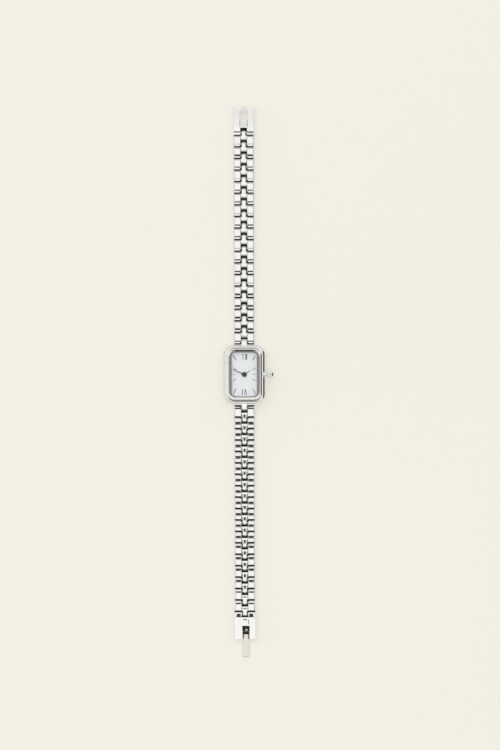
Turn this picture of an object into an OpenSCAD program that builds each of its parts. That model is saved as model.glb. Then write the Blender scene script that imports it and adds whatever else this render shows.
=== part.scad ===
// Square dress wristwatch with a three-row link bracelet, laid out flat and open.
// Millimetres. +Y runs to 12 o'clock, +X to the crown, +Z up out of the dial.
// The origin is on the underside of the case back, under the hands' centre.

/* [Case] */
// Case width across the flanks, without the crown
case_w = 14.6; // [14.4:0.1:16]
// Case length between the two lug faces
case_l = 20.6; // [20.3:0.1:22]
// Outer corner radius of the case, seen from above
case_corner = 3.3; // [2.6:0.1:4]
// Height of the case from the case back to the crest of the bezel
case_h = 5.75; // [5.7:0.05:6.5]
// Width of the dial opening
opening_w = 9; // [8:0.1:9.2]
// Length of the dial opening
opening_l = 15.6; // [14:0.1:15.8]

/* [Bracelet] */
// Number of link pitches in each half of the bracelet
links = 18; // [4:1:18]
// Pitch of the links on the 12 o'clock side
upper_pitch = 4.11; // [3.9:0.01:4.4]
// Pitch of the links on the 6 o'clock side
lower_pitch = 4.05; // [3.9:0.01:4.4]
// Width of the bracelet over its three rows
band_w = 7; // [6.4:0.1:8]
// Width of the middle row
middle_w = 1.8; // [1.6:0.1:2.2]
// Thickness of the links
link_t = 1.8; // [1.7:0.05:2.2]
// Open gap between one link and the next
link_gap = 0.45; // [0.4:0.01:0.5]

/* [Clasp] */
// Length of the catch frame at the 12 o'clock end
frame_l = 9.95; // [9.5:0.05:12]
// Length of the clasp body at the 6 o'clock end
clasp_l = 9.95; // [9.5:0.05:12]
// How far the open hook arm reaches beyond the clasp body
arm_reach = 6.2; // [4:0.1:7]
// Width of the hook arm
arm_w = 2.3; // [1.8:0.1:2.4]

/* [Time shown] */
// Angle of the hour hand clockwise from 12
hour_angle = 54.5; // [0:0.1:360]
// Angle of the minute hand clockwise from 12
minute_angle = 294; // [0:0.1:360]

/* [Hidden] */
$fn = 48;
eps = 0.01;
cut = 1;
fit_gap = 0.02;
run_gap = 0.04;
pin_r = 0.35;
pin_fit = 0.01;
pin_inset = 0.1;

// Levels above the case back
back_t = 0.55;
rim_z = 0.2;
boss_top = 1.0;
bridge_z0 = 1.05;
bridge_z1 = 1.25;
plate_z0 = 2.3;
plate_z1 = 3.35;
recess_z = 2.95;
dial_z0 = 3.4;
dial_z1 = 3.7;
flange_z0 = 3.75;
flange_z1 = 4.6;
crystal_t = 0.72;
crystal_z1 = flange_z1 + fit_gap + crystal_t;
stem_z = 2.8;

// Case plan sizes as half widths
case_hx = case_w / 2;
case_hy = case_l / 2;
open_hx = opening_w / 2;
open_hy = opening_l / 2;
open_r = 1.5;
crystal_edge = 0.25;
bezel_slope = 0.73;
bezel_dip = 0.34;
bezel_crown = 0.25;
cav_hx = case_hx - 1.1;
cav_hy = case_hy - 1.85;
cav_r = 1.2;
back_hx = cav_hx + 0.22;
back_hy = cav_hy + 0.9;
back_r = 2.5;
gasket_t = 0.28;
gasket_w = 0.22;
boss_hx = cav_hx - gasket_w - 0.05;
boss_hy = cav_hy - gasket_w - 0.05;
boss_wall = 0.5;

// Movement plan sizes
plate_margin_x = 0.65;
plate_margin_y = 1.15;
plate_hx = cav_hx - plate_margin_x;
plate_hy = cav_hy - plate_margin_y;
plate_r = 2;
foot_x = plate_hx - 0.95;
foot_y = plate_hy - 1.7;
foot_r = 0.25;
board_y = plate_hy - 2.25;
board_hx = plate_hx - 0.65;
posts = [
    [-plate_hx + 1.15, plate_hy - 4.1],
    [plate_hx - 1.15, plate_hy - 4.1],
    [0, plate_hy - 0.7]
];
holder_gap = 0.05;
battery_x = -2.2;
battery_inner = 1.25;
battery_edge = 0.25;
battery_r = (plate_hy - battery_edge - battery_inner) / 2;
battery_y = -battery_inner - battery_r;
battery_z0 = 1.1;
battery_t = 1.6;
coil_x = 3.7;
coil_y0 = -6.2;
coil_y1 = -1.4;
coil_r = 0.62;
coil_z = 1.62;

// Gear train
train_mod = 0.045;
centre_teeth = 72;
third_pinion_teeth = 8;
third_teeth = 60;
rotor_teeth = 6;
works_mod = 0.07;
cannon_teeth = 10;
minute_teeth = 30;
minute_pinion_teeth = 8;
hour_teeth = 32;
third_d = train_mod * (centre_teeth + third_pinion_teeth) / 2;
third_a = 35;
third_x = third_d * cos(third_a);
third_y = third_d * sin(third_a);
rotor_d = train_mod * (third_teeth + rotor_teeth) / 2;
rotor_a = -10;
rotor_x = third_x + rotor_d * cos(rotor_a);
rotor_y = third_y + rotor_d * sin(rotor_a);
rotor_r = 0.55;
minute_x = works_mod * (cannon_teeth + minute_teeth) / 2;
cannon_r = 0.25;
pipe_in = cannon_r + run_gap;
pipe_out = 0.42;
hour_hand_z = 4.0;
minute_hand_z = 4.24;
hand_t = 0.1;
hour_reach = 2.5;
minute_reach = open_hx - 0.2;

// Crown and its stem
crown_r = 1.1;
crown_x0 = case_hx + 0.95;
crown_l = 2.1;
crown_notches = 24;
tube_x1 = case_hx + 0.6;
tube_r = 0.72;
stem_r = 0.34;
stem_x0 = 3.45;
groove_x = 3.95;
groove_w = 0.24;
groove_r = 0.2;
crown_travel = 0.8;

// Bracelet layout
pin_z = link_t / 2;
band_hx = band_w / 2;
middle_hx = middle_w / 2;
slit = 0.24;
side_x = middle_hx + slit;
notch_w = 0.2;
notch_s = 0.8;
lug_notch_w = 0.38;
lug_notch_s = 0.6;
upper_g1 = case_hy + 0.53;
lower_g1 = case_hy + 0.74;
middle_r = link_t / 2 - 0.05;
root_gap = 0.03;
ledge_drop = 0.44;
crease_s0 = 0.55;
crease_s1 = 0.95;
dome_drop = 0.26;
lip_z0 = 0.06;
lip_z1 = 0.3;
lip_under = 0.12;
skirt_clear = 0.05;
case_clear = 0.12;
recess_l = 0.36;
recess_h = 0.62;
cradle_r = middle_r + 0.14;
cradle_s = 0.62;
start_s = 1.35;
middle_bend = 9.2;
lug_tip_hx = 0.6;
lug_hx = 0.88;
lug_base_hx = 1.05;
upper_end = upper_g1 + links * upper_pitch;
lower_end = lower_g1 + links * lower_pitch;

// Catch frame and clasp body
frame_hx = band_hx;
window_hx = 1.48;
notch_hx = middle_hx + 0.3;
notch_l = 2.65;
window_s0 = 5.5;
window_s1 = 8.3;
clasp_hx = band_hx + 0.13;
clasp_t = link_t + 0.1;
clasp_gap_hx = arm_w / 2 + 0.15;
clasp_gap_x = 0.35;
clasp_notch = 2.1;
bridge_s1 = 5.1;
hinge_s = clasp_l - 2.2;
hinge_z = 0.62;
hinge_pin_r = 0.28;
knuckle_r = 0.52;
channel_z = clasp_t - 0.75;
floor_z = clasp_t - 0.5;
floor_s1 = hinge_s - knuckle_r - 0.13;
stud_r = 0.38;
stud_x = 0.52;
arm_t = 0.7;
arm_z0 = 0.12;

function two(i) = i < 10 ? str("0", i) : str(i);

// Plan of a rectangle with rounded corners, from its half widths
module rounded(hx, hy, r) {
    square([2 * hx, 2 * (hy - r)], center = true);
    square([2 * (hx - r), 2 * hy], center = true);
    for (sx = [-1, 1])
        for (sy = [-1, 1])
            translate([sx * (hx - r), sy * (hy - r)])
                circle(r);
}

// Straight block of that plan between two levels
module block(hx, hy, r, z0, z1) {
    translate([0, 0, z0])
        linear_extrude(z1 - z0)
            rounded(hx, hy, r);
}

// The same block with sides that slope: it grows by "grow" from z0 to z1
module taper(hx, hy, r, grow, z0, z1) {
    h = z1 - z0;
    cx = hx - r;
    cy = hy - r;
    for (sx = [-1, 1])
        for (sy = [-1, 1])
            translate([sx * cx, sy * cy, z0])
                cylinder(h = h, r1 = r, r2 = r + grow);
    rotate([90, 0, 0])
        translate([0, 0, -cy])
            linear_extrude(2 * cy)
                polygon([[-hx, z0], [hx, z0], [hx + grow, z1], [-hx - grow, z1]]);
    rotate([90, 0, 90])
        translate([0, 0, -cx])
            linear_extrude(2 * cx)
                polygon([[-hy, z0], [hy, z0], [hy + grow, z1], [-hy - grow, z1]]);
}

// Outline of a spur gear with straight-sided teeth
function tooth_ring(n, m) = [
    for (i = [0:n - 1])
        for (p = [[-0.3, -1.15], [-0.13, 0.9], [0.13, 0.9], [0.3, -1.15]])
            let (a = 360 * (i + p[0]) / n, r = m * (n / 2 + p[1]))
                [r * cos(a), r * sin(a)]
];

module gear(n, m, z0, t, bore) {
    translate([0, 0, z0])
        linear_extrude(t)
            difference() {
                polygon(tooth_ring(n, m));
                circle(bore);
            }
}

module rod(r, z0, z1) {
    translate([0, 0, z0])
        cylinder(h = z1 - z0, r = r);
}

module bar_x(r, x0, x1) {
    translate([x0, 0, 0])
        rotate([0, 90, 0])
            cylinder(h = x1 - x0, r = r);
}

// Profiles drawn in the Y-Z plane are pushed out along X
module along_x(x0, x1) {
    translate([x0, 0, 0])
        rotate([90, 0, 90])
            linear_extrude(x1 - x0)
                children();
}

// Case
module lug(g1, reach) {
    intersection() {
        linear_extrude(link_t)
            polygon([
                [-lug_base_hx, case_hy - 1.2],
                [lug_base_hx, case_hy - 1.2],
                [lug_base_hx, case_hy + 0.05],
                [lug_hx, case_hy + 1.1],
                [lug_hx - 0.1, reach - cut - 0.6],
                [lug_tip_hx, reach],
                [-lug_tip_hx, reach],
                [-lug_hx + 0.1, reach - cut - 0.6],
                [-lug_hx, case_hy + 1.1],
                [-lug_base_hx, case_hy + 0.05]
            ]);
        along_x(-lug_base_hx - cut, lug_base_hx + cut)
            union() {
                translate([g1, pin_z])
                    circle(middle_r);
                translate([case_hy - 1.2, pin_z - middle_r])
                    square([g1 - case_hy + 1.2, 2 * middle_r]);
            }
    }
}

module lug_hole(y) {
    translate([0, y, pin_z])
        bar_x(pin_r + run_gap, -lug_hx - cut, lug_hx + cut);
}

module case_body() color("silver") {
    upper_pin = upper_g1 + upper_pitch / 4;
    lower_pin = lower_g1 + lower_pitch / 4;
    difference() {
        union() {
            taper(case_hx - 0.35, case_hy - 0.35, case_corner - 0.35, 0.35, rim_z, rim_z + 0.45);
            block(case_hx, case_hy, case_corner, rim_z + 0.45, 2.5);
            taper(case_hx, case_hy, case_corner, -0.12, 2.5, 2.75);
            taper(case_hx - 0.12, case_hy - 0.12, case_corner - 0.12, -0.68, 2.75, 3.35);
            block(case_hx - 1.13, case_hy - 0.8, case_corner - 0.9, 3.25, case_h - 0.6);
            taper(case_hx - 1.13, case_hy - 0.8, case_corner - 0.9, -0.6, case_h - 0.6, case_h);
            lug(upper_pin, upper_pin + middle_r + cut);
            rotate([0, 0, 180])
                lug(lower_pin, lower_pin + middle_r + cut);
            translate([0, 0, stem_z])
                bar_x(tube_r, case_hx - 0.6, tube_x1);
        }
        block(back_hx + fit_gap, back_hy + fit_gap, back_r + fit_gap, -cut, back_t);
        block(cav_hx, cav_hy, cav_r, back_t - eps, flange_z0);
        block(open_hx, open_hy, open_r, flange_z0 - eps, case_h + cut);
        block(
            open_hx + crystal_edge + fit_gap,
            open_hy + crystal_edge + fit_gap,
            open_r + crystal_edge + fit_gap,
            flange_z1,
            case_h + cut
        );
        taper(
            open_hx + crystal_edge + fit_gap,
            open_hy + crystal_edge + fit_gap,
            open_r + crystal_edge + fit_gap,
            bezel_slope,
            case_h - bezel_dip,
            case_h + eps
        );
        translate([0, 0, stem_z])
            bar_x(stem_r + run_gap + 0.02, cav_hx - cut, tube_x1 + cut);
        lug_hole(upper_pin);
        rotate([0, 0, 180])
            lug_hole(lower_pin);
    }
}

module crystal() color([0.85, 0.92, 0.95, 0.35]) {
    hx = open_hx + crystal_edge;
    hy = open_hy + crystal_edge;
    r = open_r + crystal_edge;
    bevel = 0.15;
    block(hx, hy, r, flange_z1 + fit_gap, crystal_z1 - bevel);
    taper(hx, hy, r, -bevel, crystal_z1 - bevel, crystal_z1);
}

module dial() color("whitesmoke") {
    difference() {
        union() {
            block(cav_hx - 0.25, cav_hy - 0.1, cav_r - 0.05, dial_z0, dial_z1);
            for (s = [-1, 1])
                translate([s * foot_x, -s * foot_y, 0])
                    rod(foot_r, plate_z0 + 0.2, dial_z0 + eps);
        }
        rod(pipe_out + 0.12, dial_z0 - cut, dial_z1 + cut);
    }
}

marker_t = 0.05;

// One printed stroke from a to b, w wide
module stroke(a, b, w) {
    d = b - a;
    translate([a[0], a[1], dial_z1])
        rotate([0, 0, atan2(d[1], d[0])])
            translate([0, -w / 2, 0])
                cube([norm(d), w, marker_t]);
}

module baton(angle, r0, r1, w) {
    rotate([0, 0, -angle])
        stroke([0, r0], [0, r1], w);
}

module hour_markers() color("dimgray") {
    thin = 0.12;
    thick = 0.24;
    y0 = 0.675 * open_hy;
    y1 = 0.93 * open_hy;
    // long batons at 1, 7 and 11, and a thinner one at 5
    for (a = [30, 210, 330])
        baton(a, 0.74 * open_hy, 1.0 * open_hy, 0.42);
    baton(150, 0.74 * open_hy, 1.0 * open_hy, 0.18);
    // short batons at 2, 4, 8 and 10
    for (a = [60, 120, 240, 300])
        baton(a, 0.71 * open_hx, 1.0 * open_hx, 0.3);
    for (a = [90, 270])
        baton(a, 0.65 * open_hx, 0.9 * open_hx, 0.2);
    // twelve
    stroke([-0.66, y0], [-0.14, y1], thin);
    stroke([-0.66, y1], [-0.14, y0], thick);
    stroke([0.52, y0], [0.52, y1], 0.28);
    stroke([0.88, y0], [0.88, y1], 0.28);
    // six, its foot turned to the centre
    stroke([-0.62, -y0], [-0.62, -y1], thick);
    stroke([0.32, -y0], [0.02, -y1], thin);
    stroke([0.32, -y0], [0.72, -y1], thick);
}

module case_back() color("gainsboro") {
    block(back_hx, back_hy, back_r, 0, back_t);
    difference() {
        block(boss_hx, boss_hy, cav_r - 0.2, back_t - eps, boss_top);
        block(boss_hx - boss_wall, boss_hy - boss_wall, cav_r - 0.4, back_t, boss_top + cut);
    }
}

module back_gasket() color("black") {
    z0 = back_t + fit_gap;
    difference() {
        block(cav_hx - fit_gap, cav_hy - fit_gap, cav_r - fit_gap, z0, z0 + gasket_t);
        block(boss_hx + fit_gap, boss_hy + fit_gap, cav_r - 0.2, z0 - cut, z0 + gasket_t + cut);
    }
}

// Movement
module movement_holder() color("ivory") {
    difference() {
        block(cav_hx - 0.08, cav_hy - 0.08, cav_r - 0.05, bridge_z0, plate_z1);
        block(plate_hx + holder_gap, plate_hy + holder_gap, plate_r + holder_gap, 0, plate_z1 + cut);
        translate([0, 0, stem_z])
            bar_x(stem_r + 0.3, 0, case_hx);
    }
}

module main_plate() color("goldenrod") {
    recess_r = works_mod * hour_teeth / 2 + 0.2;
    difference() {
        union() {
            block(plate_hx, plate_hy, plate_r, plate_z0, plate_z1);
            for (p = [[-1.5, 2.05], [3.9, 2.05]])
                translate(p)
                    rod(0.45, bridge_z1, plate_z0 + eps);
            for (p = posts)
                translate(p)
                    rod(0.4, 1.95, plate_z0 + eps);
        }
        rod(recess_r, recess_z, plate_z1 + cut);
        translate([minute_x, 0, 0])
            rod(works_mod * minute_teeth / 2 + 0.15, recess_z, plate_z1 + cut);
        rod(cannon_r + run_gap, 0, recess_z + cut);
        translate([battery_x, battery_y, 0])
            rod(battery_r + 0.1, plate_z0 - cut, battery_z0 + battery_t + 0.05);
        for (s = [-1, 1])
            translate([s * foot_x, -s * foot_y, 0])
                rod(foot_r + fit_gap, plate_z0 - cut, plate_z1 + cut);
        translate([0, 0, stem_z])
            bar_x(stem_r + run_gap, stem_x0 - crown_travel - 0.1, case_hx);
        translate([groove_x - crown_travel - 0.12, -0.62, plate_z0 - cut])
            cube([crown_travel + groove_w + 0.3, 1.24, 0.75 + cut]);
        for (p = [[third_x, third_y], [rotor_x, rotor_y]])
            translate(p)
                rod(0.1, plate_z0 - cut, plate_z0 + 0.35);
    }
    translate([minute_x, 0, 0])
        rod(0.13, recess_z - eps, plate_z1 - 0.05);
}

module train_bridge() color("silver") {
    difference() {
        translate([1.2, 0.72, 0])
            block(3.4, 1.9, 0.7, bridge_z0, bridge_z1 - 0.02);
        for (p = [[0, 0], [third_x, third_y], [rotor_x, rotor_y]])
            translate(p)
                rod(0.12, bridge_z0 - cut, bridge_z1 + cut);
    }
    for (p = [[-1.5, 2.05], [3.9, 2.05]])
        translate([p[0], p[1], 0])
            difference() {
                rod(0.36, bridge_z0 - 0.16, bridge_z0 - 0.01);
                translate([-0.5, -0.06, bridge_z0 - 0.2])
                    cube([1, 0.12, 0.12]);
            }
}

module battery() color("lightsteelblue") {
    translate([battery_x, battery_y, 0]) {
        rod(battery_r - 0.35, battery_z0, battery_z0 + 0.15 + eps);
        rod(battery_r, battery_z0 + 0.15, battery_z0 + battery_t);
    }
}

module motor_coil() color("chocolate") {
    y_mid = (coil_y0 + coil_y1) / 2;
    bobbin = 0.25;
    // core and stator in one flat strip of soft iron
    translate([coil_x, 0, 0])
        difference() {
            union() {
                translate([-0.28, coil_y0 - 0.5, coil_z - 0.1])
                    cube([0.56, coil_y1 - coil_y0 + 1, 0.2]);
                translate([rotor_x - coil_x - 0.95, coil_y1 + 0.3, coil_z - 0.1])
                    cube([1.9, 2.3, 0.2]);
            }
            translate([rotor_x - coil_x, rotor_y, 0])
                rod(rotor_r + 0.12, 0, plate_z0);
        }
    // winding with its two flanges, wound round the core
    translate([coil_x, y_mid, coil_z])
        rotate([90, 0, 0])
            difference() {
                union() {
                    cylinder(h = coil_y1 - coil_y0, r = coil_r - 0.08, center = true);
                    for (s = [-1, 1])
                        translate([0, 0, s * (coil_y1 - coil_y0 - bobbin) / 2])
                            cylinder(h = bobbin, r = coil_r, center = true);
                }
                cube([0.6, 0.24, coil_y1 - coil_y0 + cut], center = true);
            }
}

module circuit_board() color("darkgreen") {
    z1 = plate_z0 - 0.02;
    difference() {
        translate([0, board_y, 0])
            block(board_hx, 1.85, 0.5, z1 - 0.18, z1);
        for (p = posts)
            translate(p)
                rod(0.45, 0, z1 + cut);
    }
    // chip and the quartz in its can
    translate([-2.9, board_y + 0.15, z1 - 0.48])
        cube([1.6, 1.6, 0.29]);
    translate([0.9, board_y + 0.05, z1 - 0.18 - 0.55 - 0.02])
        bar_x(0.5, 0, 3.6);
}

module rotor() color("dimgray") {
    translate([rotor_x, rotor_y, 0]) {
        rod(0.08, bridge_z0 + 0.02, plate_z0 + 0.3);
        rod(rotor_r, 1.6, 2.0);
        gear(rotor_teeth, train_mod, 1.34, 0.26 + eps, 0.05);
    }
}

module third_wheel() color("khaki") {
    translate([third_x, third_y, 0]) {
        rod(0.08, bridge_z0 + 0.02, plate_z0 + 0.3);
        gear(third_teeth, train_mod, 1.38, 0.1, 0.05);
        gear(third_pinion_teeth, train_mod, 1.48 - eps, 0.72, 0.05);
    }
}

module centre_wheel() color("khaki") {
    rod(0.1, bridge_z0 + 0.02, 1.9);
    gear(centre_teeth, train_mod, 2.06, 0.12, 0.05);
    rod(cannon_r, 1.9 - eps, minute_hand_z + hand_t + 0.05);
    gear(cannon_teeth, works_mod, recess_z + 0.03, 0.16, cannon_r - 0.05);
}

module minute_wheel() color("khaki") {
    translate([minute_x, 0, 0])
        difference() {
            union() {
                gear(minute_teeth, works_mod, recess_z + 0.04, 0.1, 0.17);
                gear(minute_pinion_teeth, works_mod, recess_z + 0.14 - eps, 0.22 + eps, 0.17);
            }
            rod(0.17, 0, plate_z1 + cut);
        }
}

module hour_wheel() color("khaki") {
    difference() {
        union() {
            rotate([0, 0, 180 / hour_teeth])
                gear(hour_teeth, works_mod, 3.2, 0.12, pipe_in - 0.05);
            rod(pipe_out, 3.19, hour_hand_z + hand_t);
        }
        rod(pipe_in, 3, hour_hand_z + cut);
    }
}

// Tapered blade along +Y
module blade(r0, r1, w0, w1, z0) {
    translate([0, 0, z0])
        linear_extrude(hand_t)
            polygon([[-w0 / 2, r0], [w0 / 2, r0], [w1 / 2, r1], [-w1 / 2, r1]]);
}

module hour_hand() color("gray") {
    difference() {
        union() {
            rotate([0, 0, -hour_angle])
                blade(0, hour_reach, 0.36, 0.24, hour_hand_z);
            rod(0.72, hour_hand_z, hour_hand_z + hand_t);
        }
        rod(pipe_out + pin_fit, hour_hand_z - cut, hour_hand_z + cut);
    }
}

module minute_hand() color("dimgray") {
    difference() {
        union() {
            rotate([0, 0, -minute_angle])
                blade(0, minute_reach, 0.28, 0.16, minute_hand_z);
            rod(0.87, minute_hand_z, minute_hand_z + hand_t);
        }
        rod(cannon_r + pin_fit, minute_hand_z - cut, minute_hand_z + cut);
    }
}

module crown() color("silver") {
    band_x1 = crown_x0 + crown_l - 0.5;
    socket_x = crown_x0 + 0.55;
    stem_x1 = socket_x + 0.8;
    dome = crown_r - 0.24;
    neck = crown_r - 0.38;
    difference() {
        union() {
            // fluted band
            translate([crown_x0, 0, stem_z])
                rotate([90, 0, 90])
                    linear_extrude(band_x1 - crown_x0)
                        difference() {
                            circle(crown_r);
                            for (i = [0:crown_notches - 1])
                                rotate((i + 0.5) * 360 / crown_notches)
                                    translate([crown_r + 0.03, 0])
                                        circle(0.1);
                        }
            // domed end past a turned groove
            translate([band_x1 - eps, 0, stem_z])
                rotate([0, 90, 0])
                    rotate_extrude()
                        polygon([
                            [0, 0],
                            [neck, 0],
                            [neck, 0.31],
                            [dome, 0.33],
                            [dome, 0.38],
                            [dome - 0.2, 0.45],
                            [dome * 0.35, 0.49],
                            [0, 0.5]
                        ]);
        }
        translate([0, 0, stem_z])
            bar_x(tube_r + 0.06, crown_x0 - cut, socket_x);
        translate([0, 0, stem_z])
            bar_x(stem_r + pin_fit, crown_x0, stem_x1 + eps);
    }
    // stem with the groove that the setting slide holds
    translate([0, 0, stem_z])
        difference() {
            bar_x(stem_r, stem_x0, stem_x1);
            difference() {
                bar_x(stem_r + cut, groove_x, groove_x + groove_w);
                bar_x(groove_r, groove_x - cut, groove_x + groove_w + cut);
            }
        }
}

module setting_slide() color("silver") {
    fork_x = groove_x + 0.04;
    fork_w = groove_w - 0.08;
    translate([groove_x - 0.3, -0.58, plate_z0 - 0.17])
        cube([1.0, 1.16, 0.15]);
    for (s = [-1, 1])
        translate([fork_x, s * 0.4 - 0.16, plate_z0 - 0.03])
            cube([fork_w, 0.32, 0.6]);
}

// Bracelet. Each link is drawn along +Y; the 6 o'clock half is turned round.

// Side view of a side link: a low ledge nearer the case, a crease, then a long dome.
// A thin lip closes the gap from below and runs into a recess under the link before,
// and a thin skirt closes the slit beside the tongue.
module side_profile(l, lip) {
    t = link_t;
    crest = l - 0.45;
    steps = 5;
    run = crest - crease_s1;
    polygon(concat(
        [[0, lip_z1], [-lip, lip_z1], [-lip, lip_z0], [0.1, lip_z0], [0.18, 0]],
        [[l - recess_l, 0], [l - recess_l, recess_h], [l, recess_h], [l, t - 0.25], [l - 0.12, t - 0.08]],
        [
            for (k = [0:steps])
                let (s = crest - run * k / steps)
                    [s, t - dome_drop * pow((crest - s) / run, 2)]
        ],
        [[crease_s0, t - ledge_drop], [0.12, t - ledge_drop - 0.03], [0, t - ledge_drop - 0.16]]
    ));
}

// End view of a side link, from its inner to its outer edge
module side_section() {
    w = band_hx - side_x;
    t = link_t;
    polygon([
        [0.12, 0],
        [w - 0.2, 0],
        [w, 0.2],
        [w, t - 0.45],
        [w - 0.12, t - 0.2],
        [w - 0.35, t - 0.05],
        [0.6 * w, t],
        [0.35, t - 0.02],
        [0.08, t - 0.14],
        [0, t - 0.3],
        [0, 0.12]
    ]);
}

module side_link(y0, l, first) {
    lip = first ? y0 - case_hy - case_clear : link_gap + lip_under;
    w = first ? lug_notch_w : notch_w;
    s = first ? lug_notch_s : notch_s;
    skirt_x = (first ? lug_base_hx - 0.08 : middle_hx) + skirt_clear;
    skirt_l = (l + link_gap) / 4 + cradle_s - skirt_clear;
    difference() {
        union() {
            intersection() {
                translate([0, y0, 0])
                    along_x(side_x, band_hx)
                        side_profile(l, lip);
                translate([side_x, y0 + l, 0])
                    rotate([90, 0, 0])
                        linear_extrude(l + lip + cut)
                            side_section();
            }
            translate([skirt_x, y0 - link_gap / 2, lip_z0 + 0.01])
                cube([side_x + 0.2 - skirt_x, skirt_l, lip_z1 - lip_z0 - 0.03]);
        }
        // the inner corner nearer the case is cut off beside the tongue
        translate([side_x, y0, lip_z1 + 0.1])
            linear_extrude(link_t + cut)
                polygon([[-cut, -cut], [w, -cut], [w, 0], [0, s], [-cut, s]]);
    }
}

// Hollow end that reaches under the rounded tongue of the link before
function cradle(near) = concat(
    [[near + cradle_s, pin_z - middle_r]],
    [
        for (k = [0:4])
            let (a = -50 + 12.5 * k)
                [near + cradle_r * cos(a), pin_z + cradle_r * sin(a)]
    ]
);

function middle_top(s, y1, start) =
    pin_z + middle_r - pow(y1 - s, 2) / (2 * middle_bend)
    - 0.19 * pow(max(0, start + 0.55 - s), 2);

// Middle link: wide at its root, between its own side links, then a narrower tongue
module middle_link(near, y0, y1, root) {
    start = near + start_s;
    steps = 8;
    difference() {
        intersection() {
            along_x(-side_x, side_x) {
                polygon(concat(
                    cradle(near),
                    [
                        for (k = [0:steps])
                            let (s = start + (y1 - start) * pow(k / steps, 1.3))
                                [s, middle_top(s, y1, start)]
                    ],
                    [[y1, pin_z - middle_r]]
                ));
                translate([y1, pin_z])
                    circle(middle_r);
            }
            linear_extrude(link_t)
                polygon([
                    [-side_x + root_gap, near],
                    [side_x - root_gap, near],
                    [side_x - root_gap, root],
                    [middle_hx, root],
                    [middle_hx, y1 + middle_r + cut],
                    [-middle_hx, y1 + middle_r + cut],
                    [-middle_hx, root],
                    [-side_x + root_gap, root]
                ]);
        }
        translate([0, y0, pin_z])
            bar_x(pin_r + pin_fit, -band_hx, band_hx);
        translate([0, y1, pin_z])
            bar_x(pin_r + run_gap, -band_hx, band_hx);
    }
}

module link_pin(y, half) {
    translate([0, y, pin_z])
        bar_x(pin_r, -half + pin_inset, half - pin_inset);
}

module link(g, pitch, first) {
    y0 = g + link_gap / 2;
    l = pitch - link_gap;
    near = g + pitch / 4;
    far = g + 3 * pitch / 4;
    for (s = [0, 1])
        mirror([s, 0, 0])
            difference() {
                side_link(y0, l, first);
                for (y = [near, far])
                    translate([0, y, pin_z])
                        bar_x(pin_r + pin_fit, side_x - cut, band_hx + cut);
            }
    middle_link(near, far, g + pitch + pitch / 4, y0 + l);
    link_pin(near, band_hx);
    link_pin(far, band_hx);
}

module upper_link(i) color("silver") {
    link(upper_g1 + (i - 1) * upper_pitch, upper_pitch, i == 1);
}

module lower_link(i) color("silver") {
    rotate([0, 0, 180])
        link(lower_g1 + (i - 1) * lower_pitch, lower_pitch, i == 1);
}

// Edges of the two end pieces, seen from the side and from the end. "rise" is the line
// from the top down to the end that meets the last link.
module end_profile(l, t, rise) {
    lip = link_gap + lip_under;
    polygon(concat(
        [[0, lip_z1], [-lip, lip_z1], [-lip, lip_z0], [0.1, lip_z0], [0.18, 0]],
        [[l - 0.15, 0], [l, 0.15], [l, t - 0.35], [l - 0.3, t]],
        [for (p = rise) [p[0], t - p[1]]]
    ));
}

module end_section(hx, t) {
    polygon([
        [-hx + 0.15, 0],
        [hx - 0.15, 0],
        [hx, 0.15],
        [hx, t - 0.4],
        [hx - 0.35, t - 0.04],
        [hx - 0.9, t],
        [-hx + 0.9, t],
        [-hx + 0.35, t - 0.04],
        [-hx, t - 0.4],
        [-hx, 0.15]
    ]);
}

module end_block(y0, l, hx, t, rise) {
    intersection() {
        translate([0, y0, 0])
            along_x(-hx, hx)
                end_profile(l, t, rise);
        translate([0, y0 + l, 0])
            rotate([90, 0, 0])
                linear_extrude(l + 2 * cut)
                    end_section(hx, t);
    }
}

module slot_box(hx, y0, y1, z0, z1) {
    translate([-hx, y0, z0])
        cube([2 * hx, y1 - y0, z1 - z0]);
}

// Thin tabs that close the slits beside the last tongue from below. "reach" is how far each
// goes out from the middle, on the left and on the right.
module end_tabs(end, near, reach) {
    for (s = [0, 1])
        mirror([1 - s, 0, 0])
            translate([middle_hx + skirt_clear, end, lip_z0 + 0.01])
                cube([reach[s] - middle_hx - skirt_clear, near + 0.8 - end, lip_z1 - lip_z0 - 0.03]);
}

module catch_frame() color("silver") {
    y0 = upper_end + link_gap / 2;
    l = frame_l - link_gap / 2;
    near = upper_end + upper_pitch / 4;
    difference() {
        end_block(y0, l, frame_hx, link_t, [[1.2, 0], [0.8, 0.18], [0.12, 0.22], [0, 0.34]]);
        slot_box(notch_hx, y0 - cut, upper_end + notch_l, -cut, link_t + cut);
        slot_box(window_hx, upper_end + window_s0, upper_end + window_s1, -cut, link_t + cut);
        // the catch bar stands lower than the rails and slopes into the window
        along_x(-window_hx, window_hx)
            polygon([
                [upper_end + window_s1 - 0.1, link_t - 0.69],
                [upper_end + window_s1 + 0.75, link_t - 0.35],
                [y0 + l + cut, link_t - 0.35],
                [y0 + l + cut, link_t + cut],
                [upper_end + window_s1 - 0.1, link_t + cut]
            ]);
        // two fine grooves part the middle block from the rails
        for (s = [-1, 1])
            translate([s * (window_hx - 0.1) - 0.06, upper_end + notch_l + 0.3, link_t - 0.4])
                cube([0.12, window_s0 - notch_l - 0.2, 0.4 + cut]);
        translate([0, near, pin_z])
            bar_x(pin_r + pin_fit, -frame_hx - cut, frame_hx + cut);
    }
    // hollow end under the last tongue
    along_x(-notch_hx - 0.1, notch_hx + 0.1)
        polygon(concat(
            cradle(near),
            [
                [near + 1.3, pin_z + 0.42],
                [upper_end + notch_l + 0.2, pin_z + 0.62],
                [upper_end + notch_l + 0.2, pin_z - middle_r]
            ]
        ));
    end_tabs(upper_end, near, [notch_hx + 0.1, notch_hx + 0.1]);
    link_pin(near, frame_hx);
}

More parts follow.
